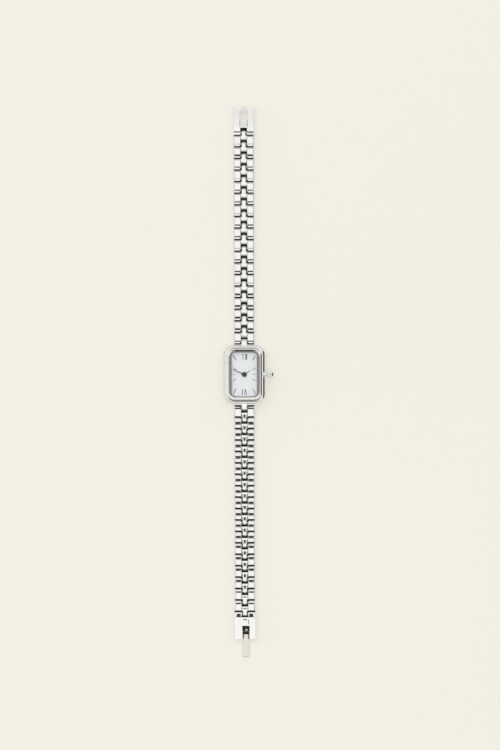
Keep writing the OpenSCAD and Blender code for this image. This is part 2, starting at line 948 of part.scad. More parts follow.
module clasp_body() color("silver") {
    y0 = lower_end + link_gap / 2;
    l = clasp_l - link_gap / 2;
    near = lower_end + lower_pitch / 4;
    axle = lower_end + hinge_s;
    rotate([0, 0, 180]) {
        difference() {
            end_block(y0, l, clasp_hx, clasp_t, [[2.2, 0], [0.6, 0.19], [0.2, 0.33], [0, 0.5]]);
            slot_box(notch_hx, y0 - cut, lower_end + clasp_notch, -cut, clasp_t + cut);
            translate([-clasp_gap_x, 0, 0]) {
                // channel under the bridge, which the folded arm lies in
                slot_box(clasp_gap_hx, y0 - cut, y0 + l + cut, -cut, channel_z);
                // hollow with a thin floor, then the open end between the rails
                slot_box(clasp_gap_hx, lower_end + bridge_s1, y0 + l + cut, floor_z, clasp_t + cut);
                slot_box(clasp_gap_hx, lower_end + floor_s1, y0 + l + cut, -cut, clasp_t + cut);
            }
            // groove across the bridge and a slit beside it
            slot_box(0.7, lower_end + 3.0, lower_end + 3.25, clasp_t - 0.25, clasp_t + cut);
            translate([-1.27, 0, 0])
                slot_box(0.1, lower_end + 3.0, lower_end + 4.5, clasp_t - 0.3, clasp_t + cut);
            translate([0, near, pin_z])
                bar_x(pin_r + pin_fit, -clasp_hx - cut, clasp_hx + cut);
            translate([0, axle, hinge_z])
                bar_x(hinge_pin_r + pin_fit, -clasp_hx - cut, clasp_hx + cut);
        }
        // the last tongue's slot is closed from below by tabs and a thin floor
        end_tabs(lower_end, near, [clasp_gap_hx + clasp_gap_x + 0.1, notch_hx + 0.1]);
        translate([-clasp_gap_hx - clasp_gap_x - 0.1, near + 0.72, lip_z0 + 0.01])
            cube([
                clasp_gap_hx + clasp_gap_x + notch_hx + 0.2,
                lower_end + clasp_notch + 0.2 - near - 0.72,
                lip_z1 - lip_z0 - 0.03
            ]);
        // stud that the closed hook snaps over
        translate([-stud_x, lower_end + floor_s1 - stud_r - 0.12, 0])
            rod(stud_r, floor_z - 0.1, clasp_t - 0.12);
        link_pin(near, clasp_hx);
        translate([0, axle, hinge_z])
            bar_x(hinge_pin_r, -clasp_hx + pin_inset, clasp_hx - pin_inset);
    }
}

module clasp_arm() color("gainsboro") {
    axle = lower_end + hinge_s;
    tip = lower_end + clasp_l + arm_reach;
    hx = arm_w / 2;
    rotate([0, 0, 180])
        translate([-clasp_gap_x, 0, 0])
            difference() {
                union() {
                    translate([0, axle, hinge_z])
                        bar_x(knuckle_r, -hx, hx);
                    intersection() {
                        along_x(-hx, hx)
                            polygon([
                                [axle, arm_z0],
                                [tip - 0.2, arm_z0],
                                [tip, arm_z0 + 0.2],
                                [tip, arm_z0 + 0.45],
                                [tip - 0.3, arm_z0 + arm_t],
                                [axle, arm_z0 + arm_t]
                            ]);
                        translate([0, tip, 0])
                            rotate([90, 0, 0])
                                linear_extrude(tip - axle)
                                    polygon([
                                        [-hx, 0],
                                        [hx, 0],
                                        [hx, arm_z0 + arm_t - 0.3],
                                        [0.25, arm_z0 + arm_t],
                                        [-0.25, arm_z0 + arm_t],
                                        [-hx, arm_z0 + arm_t - 0.3]
                                    ]);
                    }
                }
                translate([0, axle, hinge_z])
                    bar_x(hinge_pin_r + run_gap, -hx - cut, hx + cut);
            }
}

case_body();
crystal();
dial();
hour_markers();
case_back();
back_gasket();
movement_holder();
main_plate();
train_bridge();
battery();
motor_coil();
circuit_board();
rotor();
third_wheel();
centre_wheel();
minute_wheel();
hour_wheel();
hour_hand();
minute_hand();
crown();
setting_slide();
catch_frame();
clasp_body();
clasp_arm();
for (i = [1:links]) upper_link(i);
for (i = [1:links]) lower_link(i);
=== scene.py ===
import math

import bmesh
import bpy
from mathutils import Matrix, Vector


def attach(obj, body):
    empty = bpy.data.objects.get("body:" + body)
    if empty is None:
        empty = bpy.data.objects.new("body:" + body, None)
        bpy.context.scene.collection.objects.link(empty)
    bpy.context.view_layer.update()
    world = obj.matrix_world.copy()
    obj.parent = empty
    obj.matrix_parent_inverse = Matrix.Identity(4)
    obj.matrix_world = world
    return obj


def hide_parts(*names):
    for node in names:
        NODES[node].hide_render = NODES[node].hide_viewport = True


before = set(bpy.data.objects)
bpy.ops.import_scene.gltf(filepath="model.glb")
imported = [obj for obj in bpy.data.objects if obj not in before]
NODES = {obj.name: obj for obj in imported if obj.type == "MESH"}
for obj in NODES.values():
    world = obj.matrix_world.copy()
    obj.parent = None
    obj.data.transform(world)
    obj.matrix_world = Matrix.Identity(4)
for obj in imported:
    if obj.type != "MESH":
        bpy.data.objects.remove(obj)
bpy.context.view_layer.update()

# Sizes are in millimetres and are turned into metres when a mesh is made.
MM = 0.001

# Bracelet, the same values as in the part's source. Each half begins g1 from the hands' centre.
LINKS = 18
HALVES = {
    "upper": {"g1": 10.83, "pitch": 4.11, "turn": 0.0},
    "lower": {"g1": 11.04, "pitch": 4.05, "turn": math.pi},
}
LINK_T = 1.8
LINK_GAP = 0.45
PIN_Z = 0.9
PIN_R = 0.35
MIDDLE_R = 0.85
MIDDLE_HX = 0.9
MIDDLE_BEND = 9.2
TONGUE_FLANK = 0.17
SIDE_X = 1.14
BAND_HX = 3.5
SIDE_BOW = 12.2
MIDDLE_BOW = 4.6
LEDGE_Z = 1.35
CREASE_S0 = 0.55
CREST_BACK = 0.45
LIP_Z0 = 0.06
LIP_Z1 = 0.3
LIP_UNDER = 0.12
RECESS_L = 0.36
RECESS_H = 0.62
SKIRT_CLEAR = 0.05
CRADLE_R = 0.99
CRADLE_S = 0.62
START_S = 1.35

# Case
CASE_HY = 10.3
CASE_CLEAR = 0.12
LUG_HX = 0.97
STEM_Z = 2.8
CROWN_X0 = 8.25
CROWN_R = 1.1
CROWN_FLUTES = 24
DIAL_Z = 3.7
HOUR_Z = 4.0
MINUTE_Z = 4.24

# Time shown, clockwise from 12
HOUR_ANGLE = 54.5
MINUTE_ANGLE = 294.0


# ---- materials


def set_inputs(made, inputs):
    for key, value in inputs.items():
        made.inputs[key.replace("_", " ")].default_value = value


def node(tree, kind, **inputs):
    made = tree.nodes.new("ShaderNode" + kind)
    set_inputs(made, inputs)
    return made


def link(tree, source, out, target, into):
    tree.links.new(source.outputs[out], target.inputs[into])


def calc(tree, kind, a, b):
    """Maths on two numbers or sockets."""
    made = node(tree, "Math")
    made.operation = kind
    for socket, given in zip(made.inputs, (a, b)):
        if isinstance(given, float):
            socket.default_value = given
        else:
            tree.links.new(given, socket)
    return made.outputs[0]


def vector_calc(tree, kind, source, other=None):
    """Maths on a vector socket and, where the kind needs it, three numbers."""
    made = node(tree, "VectorMath")
    made.operation = kind
    tree.links.new(source, made.inputs[0])
    if other:
        made.inputs[1].default_value = other
    return made.outputs["Value" if kind == "LENGTH" else "Vector"]


def remap(tree, given, start, stop, low, high, kind="SMOOTHSTEP"):
    """The value, low up to start and high from stop on."""
    made = node(tree, "MapRange", From_Min=start, From_Max=stop, To_Min=low, To_Max=high)
    made.interpolation_type = kind
    tree.links.new(given, made.inputs["Value"])
    return made.outputs["Result"]


def principled(name, colour, metallic=0.0, roughness=0.5, **sockets):
    mat = bpy.data.materials.new(name)
    mat.use_nodes = True
    tree = mat.node_tree
    shader = next(n for n in tree.nodes if n.type == "BSDF_PRINCIPLED")
    shader.inputs["Base Color"].default_value = (*colour, 1.0)
    shader.inputs["Metallic"].default_value = metallic
    shader.inputs["Roughness"].default_value = roughness
    set_inputs(shader, sockets)
    return mat, tree, shader


def noise_at(tree, scale, stretch=(1.0, 1.0, 1.0), detail=3.0):
    """Noise in the object's own coordinates; scale is in features per millimetre."""
    mapping = node(tree, "Mapping", Scale=[s * scale / MM for s in stretch])
    link(tree, node(tree, "TexCoord"), "Object", mapping, "Vector")
    noise = node(tree, "TexNoise", Scale=1.0, Detail=detail)
    link(tree, mapping, "Vector", noise, "Vector")
    return noise


def spread(tree, noise, low, high):
    """The noise turned into numbers from low to high."""
    return remap(tree, noise.outputs["Fac"], 0.3, 0.7, low, high, "LINEAR")


def tint(tree, shader, noise, dark, light):
    """The noise turned into the shader's colour, between two colours."""
    ramp = node(tree, "ValToRGB")
    for end, position, colour in zip(ramp.color_ramp.elements, (0.35, 0.65), (dark, light)):
        end.position = position
        end.color = (*colour, 1.0)
    link(tree, noise, "Fac", ramp, "Fac")
    link(tree, ramp, "Color", shader, "Base Color")


def bumped(tree, shader, noise, strength, depth):
    bump = node(tree, "Bump", Strength=strength, Distance=depth * MM)
    link(tree, noise, "Fac", bump, "Height")
    link(tree, bump, "Normal", shader, "Normal")


def finish(name, dark, light, metallic, rough, size, bump, depth, stretch=(1, 1, 1)):
    """A material whose colour, roughness and height vary with noise of that size in millimetres."""
    mat, tree, shader = principled(name, light, metallic, rough[0])
    broad = noise_at(tree, 0.35 / size)
    fine = noise_at(tree, 1.0 / size, stretch, 4.0)
    tint(tree, shader, broad, dark, light)
    tree.links.new(spread(tree, fine, *rough), shader.inputs["Roughness"])
    bumped(tree, shader, fine, bump, depth)
    return mat


# name, dark and light colour, metallic, range of roughness, size of the noise, strength and depth
# of the bump, stretch of the noise
POLISHED = finish(
    "polished_steel", (0.7, 0.695, 0.68), (0.75, 0.745, 0.732), 1.0, (0.07, 0.13), 0.4, 0.05, 0.002
)
FROSTED = finish(
    "frosted_steel", (0.52, 0.52, 0.51), (0.6, 0.6, 0.585), 1.0,
    (0.26, 0.4), 0.12, 0.35, 0.004, (0.12, 2.5, 1)
)
ARM_STEEL = finish(
    "arm_steel", (0.6, 0.58, 0.53), (0.68, 0.66, 0.6), 1.0,
    (0.2, 0.32), 0.12, 0.25, 0.004, (2.5, 0.12, 1)
)
SATIN = finish(
    "satin_steel", (0.76, 0.757, 0.74), (0.82, 0.816, 0.8), 1.0,
    (0.16, 0.24), 0.15, 0.2, 0.003, (2.5, 0.15, 1)
)
# darker copy of the case steel: painted shade on the bezel's inner wall and flange
RING_SHADE = finish("ring_steel_painted_shade", (0.2, 0.2, 0.2), (0.27, 0.27, 0.27), 1.0, (0.2, 0.3), 0.2, 0.1, 0.003)
# black paint for painted shade in gaps, slits and hollows, and for the painted dark reflection in
# the crown's groove
DEEP = finish(
    "painted_shade_black", (0.006, 0.006, 0.006), (0.014, 0.014, 0.013), 0.0, (0.5, 0.7), 0.2, 0.2, 0.01
)
# satin crown steel, its colour lighter than the case steel as a painted highlight
CROWN = finish(
    "crown_steel_painted_highlight", (0.78, 0.777, 0.76), (0.85, 0.847, 0.83), 1.0, (0.2, 0.3), 0.3, 0.1, 0.003
)
HAND_DARK = finish(
    "hand_dark", (0.02, 0.02, 0.022), (0.05, 0.05, 0.055), 1.0, (0.12, 0.22), 0.2, 0.05, 0.002
)
# lighter copy of the hands' steel: a painted highlight on the hour hand
HAND_HIGHLIGHT = finish(
    "hand_painted_highlight", (0.48, 0.48, 0.49), (0.58, 0.58, 0.59), 1.0, (0.15, 0.25), 0.2, 0.05, 0.002
)
PRINT = finish(
    "dial_print", (0.03, 0.03, 0.033), (0.07, 0.07, 0.075), 0.0, (0.35, 0.5), 0.1, 0.1, 0.003
)
PRINT_GREY = finish(
    "dial_print_grey", (0.12, 0.12, 0.125), (0.18, 0.18, 0.19), 0.2, (0.3, 0.4), 0.1, 0.1, 0.003
)
PRINT_PALE = finish(
    "dial_print_pale", (0.36, 0.36, 0.37), (0.46, 0.46, 0.47), 0.5, (0.3, 0.4), 0.1, 0.1, 0.003
)
HUB = finish(
    "hand_hub", (0.05, 0.05, 0.052), (0.075, 0.075, 0.078), 0.6, (0.4, 0.5), 0.2, 0.05, 0.002
)
RUBBER = finish(
    "gasket_rubber", (0.01, 0.01, 0.01), (0.02, 0.02, 0.02), 0.0, (0.55, 0.75), 0.3, 0.2, 0.01
)
PLASTIC = finish(
    "holder_plastic", (0.55, 0.53, 0.46), (0.62, 0.6, 0.53), 0.0, (0.4, 0.55), 0.4, 0.1, 0.01
)
BRASS = finish(
    "plate_brass", (0.66, 0.5, 0.22), (0.75, 0.58, 0.28), 1.0,
    (0.22, 0.34), 0.3, 0.2, 0.005, (1, 4, 1)
)
BRIDGE = finish(
    "bridge_steel", (0.5, 0.5, 0.5), (0.6, 0.6, 0.59), 1.0,
    (0.2, 0.32), 0.2, 0.2, 0.004, (0.3, 3, 1)
)
CELL = finish(
    "cell_steel", (0.58, 0.59, 0.6), (0.66, 0.67, 0.68), 1.0, (0.15, 0.28), 0.5, 0.1, 0.004
)
COPPER = finish(
    "coil_copper", (0.55, 0.22, 0.1), (0.72, 0.33, 0.17), 1.0,
    (0.25, 0.35), 0.05, 0.8, 0.02, (0.1, 6, 0.1)
)
BOARD = finish(
    "board_green", (0.01, 0.1, 0.04), (0.02, 0.16, 0.07), 0.0, (0.3, 0.45), 0.3, 0.2, 0.01
)
MAGNET = finish(
    "rotor_magnet", (0.06, 0.06, 0.065), (0.1, 0.1, 0.1), 0.8, (0.3, 0.45), 0.1, 0.2, 0.005
)
WHEEL = finish(
    "wheel_brass", (0.68, 0.52, 0.24), (0.78, 0.62, 0.32), 1.0, (0.16, 0.26), 0.15, 0.1, 0.003
)


def dial_material():
    """Silvered dial: fine rays that run out from the hands' centre."""
    mat, tree, shader = principled("dial_silver", (0.91, 0.915, 0.93), 0.32, 0.4)
    parts = node(tree, "SeparateXYZ")
    link(tree, node(tree, "TexCoord"), "Object", parts, "Vector")
    rays = node(tree, "TexNoise", Scale=45.0, Detail=4.0)
    rays.noise_dimensions = "1D"
    angle = calc(tree, "ARCTAN2", parts.outputs["Y"], parts.outputs["X"])
    tree.links.new(angle, rays.inputs["W"])
    tint(tree, shader, rays, (0.88, 0.885, 0.905), (0.94, 0.945, 0.96))
    tree.links.new(spread(tree, rays, 0.3, 0.45), shader.inputs["Roughness"])
    bumped(tree, shader, rays, 0.08, 0.01)
    return mat


def crystal_material():
    """Mineral glass over the dial: clear, with a reflection that grows towards grazing."""
    mat = bpy.data.materials.new("crystal_glass")
    mat.use_nodes = True
    tree = mat.node_tree
    tree.nodes.clear()
    out = node(tree, "OutputMaterial")
    clear = node(tree, "BsdfTransparent", Color=(0.985, 0.99, 0.992, 1.0))
    gloss = node(tree, "BsdfGlossy", Color=(1.0, 1.0, 1.0, 1.0))
    tree.links.new(spread(tree, noise_at(tree, 1.5), 0.01, 0.04), gloss.inputs["Roughness"])
    mix = node(tree, "MixShader")
    link(tree, node(tree, "LayerWeight", Blend=0.08), "Facing", mix, "Fac")
    link(tree, clear, "BSDF", mix, 1)
    link(tree, gloss, "BSDF", mix, 2)
    link(tree, mix, "Shader", out, "Surface")
    return mat


DIAL = dial_material()
CRYSTAL = crystal_material()

# ---- mesh building


def to_mesh(bm, name, materials, sharp=32.0):
    bmesh.ops.remove_doubles(bm, verts=bm.verts, dist=1e-5)
    bmesh.ops.recalc_face_normals(bm, faces=bm.faces)
    bmesh.ops.scale(bm, vec=(MM, MM, MM), verts=bm.verts)
    mesh = bpy.data.meshes.new(name)
    bm.to_mesh(mesh)
    bm.free()
    for material in materials:
        mesh.materials.append(material)
    mesh.polygons.foreach_set("use_smooth", [True] * len(mesh.polygons))
    mesh.set_sharp_from_angle(angle=math.radians(sharp))
    return mesh


def piece(name, mesh, body, replaced, place=None):
    made = bpy.data.objects.new(name, mesh)
    bpy.context.scene.collection.objects.link(made)
    if place is not None:
        made.matrix_world = place
    weighted = made.modifiers.new("weighted", "WEIGHTED_NORMAL")
    weighted.keep_sharp = True
    weighted.weight = 60
    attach(made, body)
    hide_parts(replaced)


def loft(bm, rings, closed=False, material=0):
    """Skin through rings of the same number of points, with an end face on each open end."""
    rows = [[bm.verts.new(point) for point in ring] for ring in rings]
    pairs = list(zip(rows, rows[1:]))
    if closed:
        pairs.append((rows[-1], rows[0]))
    for a, b in pairs:
        count = len(a)
        for i in range(count):
            j = (i + 1) % count
            bm.faces.new((a[i], a[j], b[j], b[i])).material_index = material
    if not closed:
        bm.faces.new(rows[0]).material_index = material
        bm.faces.new(rows[-1]).material_index = material


def round_rect(hx, hy, r, z, steps=10):
    """Rounded rectangle of those half sizes and that corner radius."""
    points = []
    for sx, sy, start in ((1, 1, 0), (-1, 1, 90), (-1, -1, 180), (1, -1, 270)):
        for k in range(steps + 1):
            a = math.radians(start + 90 * k / steps)
            points.append((sx * (hx - r) + r * math.cos(a), sy * (hy - r) + r * math.sin(a), z))
    return points


def circle(r, steps):
    turns = [2 * math.pi * k / steps for k in range(steps)]
    return [(r * math.cos(a), r * math.sin(a)) for a in turns]


def turned_x(bm, profile, y, z, steps=32, material=0):
    """Turned form round an axis along X, from (x, radius) pairs."""
    rings = [[(x, y + c, z + s) for c, s in circle(r, steps)] for x, r in profile]
    loft(bm, rings, material=material)


def turned_z(bm, profile, steps=48, material=0, x=0.0, y=0.0):
    """Turned form round an axis along Z, from (radius, z) pairs."""
    rings = [[(x + c, y + s, z) for c, s in circle(r, steps)] for r, z in profile]
    loft(bm, rings, material=material)


def lattice(bm, xs, ys, zs, solid):
    """Closed skin round the boxes of a grid that solid(x, y, z) says are full."""
    full = set()
    for i in range(len(xs) - 1):
        for j in range(len(ys) - 1):
            for k in range(len(zs) - 1):
                if solid((xs[i] + xs[i + 1]) / 2, (ys[j] + ys[j + 1]) / 2, (zs[k] + zs[k + 1]) / 2):
                    full.add((i, j, k))
    corners = {}

    def corner(i, j, k):
        if (i, j, k) not in corners:
            corners[i, j, k] = bm.verts.new((xs[i], ys[j], zs[k]))
        return corners[i, j, k]

    sides = (
        ((-1, 0, 0), ((0, 0, 0), (0, 0, 1), (0, 1, 1), (0, 1, 0))),
        ((1, 0, 0), ((1, 0, 0), (1, 1, 0), (1, 1, 1), (1, 0, 1))),
        ((0, -1, 0), ((0, 0, 0), (1, 0, 0), (1, 0, 1), (0, 0, 1))),
        ((0, 1, 0), ((0, 1, 0), (0, 1, 1), (1, 1, 1), (1, 1, 0))),
        ((0, 0, -1), ((0, 0, 0), (0, 1, 0), (1, 1, 0), (1, 0, 0))),
        ((0, 0, 1), ((0, 0, 1), (1, 0, 1), (1, 1, 1), (0, 1, 1))),
    )
    for i, j, k in sorted(full):
        for step, quad in sides:
            if (i + step[0], j + step[1], k + step[2]) not in full:
                bm.faces.new([corner(i + a, j + b, k + c) for a, b, c in quad])
    bmesh.ops.dissolve_limit(bm, angle_limit=math.radians(1), verts=bm.verts, edges=bm.edges)


def soften(bm, width, segments=2, chosen=None):
    """Rounds the edges between faces that meet at more than 40 degrees."""
    edges = []
    for edge in bm.edges:
        if len(edge.link_faces) == 2 and edge.calc_face_angle(0) > math.radians(40):
            if chosen is None or chosen(edge):
                edges.append(edge)
    bmesh.ops.bevel(
        bm, geom=edges, offset=width, segments=segments, profile=0.5, affect="EDGES",
        clamp_overlap=True,
    )


# ---- bracelet links

# How a side link's top falls away from its crest: slope, how far it holds, over what length
# it eases off, height of the ledge, drop just above the crease, where the crease ends
TYPICAL = (0.199, 0.95, 2.4, LEDGE_Z - 0.04, 0.1, 1.06)
DEEP_CREASE = (0.199, 0.95, 2.4, 1.23, 0.15, 1.2)
PALE_CREASE = (0.199, 0.95, 2.4, LEDGE_Z + 0.03, 0.1, 0.95)
SHORT = (0.24, 0.6, 1.7, 1.56, 0.0, 0.75)
THIN = (0.24, 0.6, 1.2, 1.6, 0.0, 0.75)
FLAT = (0.035, 0.95, 2.26, LEDGE_Z, 0.0, 0.95)


def side_dome(s, form):
    slope, hold, fall, _, extra, crease = form
    drop = extra * max(0.0, crease + 0.6 - s) ** 2
    if s < hold:
        drop += slope * (fall / 2 + hold - s)
    elif s < hold + fall:
        drop += slope * (hold + fall - s) ** 2 / (2 * fall)
    return LINK_T - drop


def side_top(s, length, form):
    """Height of a side link's top at s from the end nearer the case."""
    ledge = form[3]
    crease = form[5]
    crest = length - CREST_BACK
    if s < CREASE_S0:
        return ledge - 0.02 * (1 - s / CREASE_S0)
    if s < crease:
        t = (s - CREASE_S0) / (crease - CREASE_S0)
        return ledge + (side_dome(crease, form) - ledge) * t
    if s < crest:
        return side_dome(s, form)
    return LINK_T - 0.05 * ((s - crest) / CREST_BACK) ** 2


def side_ring(y, x0, x1, top, inset, low):
    """Section of a side link, drawn in by the inset."""
    a = x0 + inset
    b = x1 - inset
    t = top - inset
    middle = (a + b) / 2
    low += inset
    outline = [(a + 0.1, low), (b - 0.16, low), (b - 0.05, low + 0.05), (b, low + 0.17)]
    outline += [(b, t - 0.38), (b - 0.02, t - 0.27), (b - 0.07, t - 0.17), (b - 0.15, t - 0.1)]
    for k in (0.0, 0.02, 0.16, 0.33, 0.5, 0.67, 0.84, 0.98, 1.0):
        x = b - 0.26 + (a + 0.13 - b + 0.26) * k
        outline.append((x, t - (x - middle) ** 2 / (2 * SIDE_BOW)))
    outline += [(a + 0.07, t - 0.075), (a + 0.02, t - 0.12), (a, t - 0.2), (a, low + 0.1)]
    return [(x, y, z) for x, z in outline]


def lip_ring(y, x0, x1, inset):
    """Section of a flat lip under the links, drawn in by the inset."""
    a = x0 + inset
    b = x1 - inset
    low = LIP_Z0 + inset
    top = LIP_Z1 - inset
    outline = [(a + 0.04, low), (b - 0.1, low), (b, low + 0.08), (b, top - 0.03), (b - 0.03, top)]
    outline += [(a + 0.03, top), (a, top - 0.03), (a, low + 0.04)]
    return [(x, y, z) for x, z in outline]


def side_mesh(name, pitch, form, first, mirrored):
    """Side link; "first" is how far the first link's lip reaches, and 0 for the others."""
    length = pitch - LINK_GAP
    start = LINK_GAP / 2
    crease = form[5]
    # (distance from the near end, inset of the section there)
    stations = [(0.0, 0.09), (0.02, 0.05), (0.055, 0.015), (0.11, 0.0)]
    stations += [(s, 0.0) for s in (0.3, 0.46, 0.53, 0.555, 0.57, 0.65, 0.75, 0.85)]
    stations += [(crease + d, 0.0) for d in (-0.03, -0.01, 0.02, 0.06)]
    dome = length - CREST_BACK - crease - 0.1
    stations += [(crease + 0.1 + dome * k / 12, 0.0) for k in range(13)]
    stations += [(length - RECESS_L, 0.0), (length - RECESS_L + 0.001, 0.0)]
    stations += [(length - 0.28, 0.0), (length - 0.14, 0.0), (length - 0.07, 0.015)]
    stations += [(length - 0.025, 0.05), (length, 0.1)]
    notch_w, notch_s = (0.38, 0.6) if first else (0.2, 0.8)
    rings = []
    for s, inset in sorted(stations):
        x0 = SIDE_X + notch_w * max(0.0, 1 - s / notch_s)
        low = RECESS_H if s > length - RECESS_L else 0.0
        rings.append(side_ring(start + s, x0, BAND_HX, side_top(s, length, form), inset, low))
    reach = first if first else LINK_GAP + LIP_UNDER
    lip = []
    for s, inset in ((-reach, 0.03), (-reach + 0.03, 0.0), (-0.45, 0.0), (-0.2, 0.0), (0.2, 0.0)):
        lip.append(lip_ring(start + s, SIDE_X + 0.01, BAND_HX - 0.02, inset))
    # skirt that closes the slit beside the tongue from below, painted black as shade in the slit
    inner = (LUG_HX if first else MIDDLE_HX) + SKIRT_CLEAR
    skirt = []
    for s, inset in ((0.0, 0.03), (0.03, 0.0), (pitch / 4 + CRADLE_S - SKIRT_CLEAR, 0.0)):
        skirt.append(lip_ring(s, inner, SIDE_X + 0.2, inset + 0.01))
    bm = bmesh.new()
    # the lip and the skirt are painted black, as painted shade under the gaps
    for skin, material in ((rings, 0), (lip, 1), (skirt, 1)):
        if mirrored:
            skin = [[(-x, y, z) for x, y, z in ring] for ring in skin]
        loft(bm, skin, material=material)
    bmesh.ops.recalc_face_normals(bm, faces=bm.faces)
    # the faces that look into a gap are painted black, as painted shade
    for face in bm.faces:
        into_gap = abs(face.normal.y) > 0.6
        inward = abs(face.normal.x) > 0.8 and (face.normal.x < -0.8) != mirrored
        centre = face.calc_center_median()
        # beside the tongue of the link before, the rolled edge is painted shade too
        edge = SIDE_X + notch_w * max(0.0, 1 - (centre.y - start) / notch_s) + 0.075
        beside = centre.y < start + 2.15 and abs(centre.x) < edge
        if into_gap or beside or inward and centre.z < 1.6:
            face.material_index = 1
        # the first link's lip keeps the polished steel by the case, outside the painted shade
        if first and face.normal.z > 0.9 and centre.z < 0.5 and centre.y < start - 0.45:
            face.material_index = 0
    return to_mesh(bm, name, [POLISHED, DEEP])


def middle_ring(y, hx, z0, z1, flank=0.0):
    """Section of a middle link; flank is how far its shaded sides reach in over the top."""
    k = max(0.05, min(1.0, (z1 - z0) / 0.6))
    b = hx - flank
    half = [(hx - 0.12 * k, z0), (hx, z0 + 0.12 * k), (hx, z1 - (0.2 + 1.6 * flank) * k)]
    half += [(b - 0.02 * k, z1 - 0.13 * k), (b - 0.08 * k, z1 - 0.08 * k)]
    crown = []
    for i in range(7):
        x = (b - 0.16) * (1 - 2 * i / 6)
        crown.append((x, z1 - k * x * x / (2 * MIDDLE_BOW)))
    outline = half + crown + [(-x, z) for x, z in reversed(half)]
    return [(x, y, z) for x, z in outline]


def middle_top(s, pin, start, bend, hollow):
    """Height of a middle link's top at s, highest over the pin of its tongue."""
    low = max(0.0, start + hollow - s)
    return PIN_Z + MIDDLE_R - (pin - s) ** 2 / (2 * bend) - 0.15 * low * low


def middle_mesh(name, pitch, bend=MIDDLE_BEND, hollow=0.75):
    near = pitch / 4
    start = near + START_S
    root = pitch - LINK_GAP / 2
    pin = pitch + near
    end = pin + MIDDLE_R
    base = PIN_Z - MIDDLE_R
    wide = SIDE_X - 0.03

    def top(s):
        return middle_top(s, pin, start, bend, hollow)

    rows = []
    # hollow end that reaches under the rounded tongue of the link before
    for s in (0.62, 0.7, 0.78, 0.86, 0.92, 0.96, 0.98, 0.989):
        rows.append((near + s, wide, base, PIN_Z - math.sqrt(CRADLE_R**2 - s * s)))
    rows.append((near + 0.992, wide, base, PIN_Z))
    rows.append((near + 1.17, wide, base, PIN_Z + 0.19))
    for d, drop in ((-0.03, 0.05), (0.0, 0.015), (0.04, 0.0)):
        rows.append((start + d, wide, base, top(start + d) - drop))
    steps = 16
    for k in range(steps + 1):
        s = start + 0.08 + (root - 0.05 - start - 0.08) * k / steps
        rows.append((s, wide, base, top(s)))
    rows.append((root, wide - 0.04, base + 0.03, top(root) - 0.03))
    for d in (0.001, 0.1, 0.3, 0.5, 0.75, 1.0):
        rows.append((root + d, MIDDLE_HX, base, top(root + d)))
    # the top runs on level past the pin, then the end rounds down
    for d in (0.0, 0.12, 0.25):
        rows.append((pin + d, MIDDLE_HX, PIN_Z - math.sqrt(MIDDLE_R**2 - d * d), top(pin + d)))
    for a in (23, 30, 38, 48, 60, 70, 78, 84):
        y = pin + MIDDLE_R * math.sin(math.radians(a))
        half = MIDDLE_R * math.cos(math.radians(a))
        t = max(0.0, (y - end + 0.45) / 0.45)
        rows.append((y, MIDDLE_HX - 0.2 * (1 - math.sqrt(1 - t * t)), PIN_Z - half, PIN_Z + half))
    bm = bmesh.new()
    loft(bm, [middle_ring(*row, TONGUE_FLANK if row[0] > root else 0.0) for row in rows])
    bmesh.ops.recalc_face_normals(bm, faces=bm.faces)
    # low steep faces, the hollow end and the tongue's flanks are painted black, as painted shade in
    # the gaps
    for face in bm.faces:
        centre = face.calc_center_median()
        steep = abs(face.normal.y) > 0.8 or abs(face.normal.x) > 0.8
        flank = centre.y > root and abs(centre.x) > MIDDLE_HX - TONGUE_FLANK - 0.01
        if steep and centre.z < 1.5 or centre.y < start - 0.04 or flank:
            face.material_index = 1
    return to_mesh(bm, name, [POLISHED, DEEP])


# (distance past the end, radius) down one end of a pin
LINK_PIN = ((0.025, 0.02), (0.02, 0.14), (0.0, 0.24), (-0.05, 0.31), (-0.12, PIN_R))
HINGE_PIN = ((0.025, 0.02), (0.02, 0.12), (-0.01, 0.2), (-0.08, 0.28))


def pin_mesh(name, y, half, z=PIN_Z, head=LINK_PIN):
    bm = bmesh.new()
    far = [(half + x, r) for x, r in head]
    turned_x(bm, [(-x, r) for x, r in far] + far[::-1], y, z, 24)
    return to_mesh(bm, name, [POLISHED])


def bracelet():
    for half, values in HALVES.items():
        pitch = values["pitch"]
        middle = middle_mesh(f"{half}_middle", pitch)
        flat_middle = middle_mesh(f"{half}_flat_middle", pitch, 4 * MIDDLE_BEND, 1.1)
        pins = [pin_mesh(f"{half}_pin_{k}", pitch * k / 4, BAND_HX) for k in (1, 3)]
        meshes = {}
        for i in range(1, LINKS + 1):
            body = f"{half}_link_{i:02d}"
            # worn links differ a little in their slopes
            form = TYPICAL
            if i == 1:
                form = FLAT
            elif half == "upper" and (i < 6 or i == 17):
                form = DEEP_CREASE
            elif half == "upper" and i % 3 == 0:
                form = PALE_CREASE
            elif half == "lower" and i > 16:
                form = THIN
            elif half == "lower" and i > 12:
                form = SHORT
            first = values["g1"] + LINK_GAP / 2 - CASE_HY - CASE_CLEAR if i == 1 else 0.0
            if form not in meshes:
                meshes[form] = [
                    side_mesh(f"{half}_side_{s}_{i}", pitch, form, first, s == 1) for s in (0, 1)
                ]
            turn = Matrix.Rotation(values["turn"], 4, "Z")
            place = turn @ Matrix.Translation((0, (values["g1"] + (i - 1) * pitch) * MM, 0))
            for word, mesh in zip(("right", "left"), meshes[form]):
                piece(f"{body}_side_{word}", mesh, body, body, place)
            chosen = flat_middle if form == THIN else middle
            piece(f"{body}_middle", chosen, body, body, place)
            for word, mesh in zip(("near", "far"), pins):
                piece(f"{body}_pin_{word}", mesh, body, body, place)


bracelet()

# ---- case


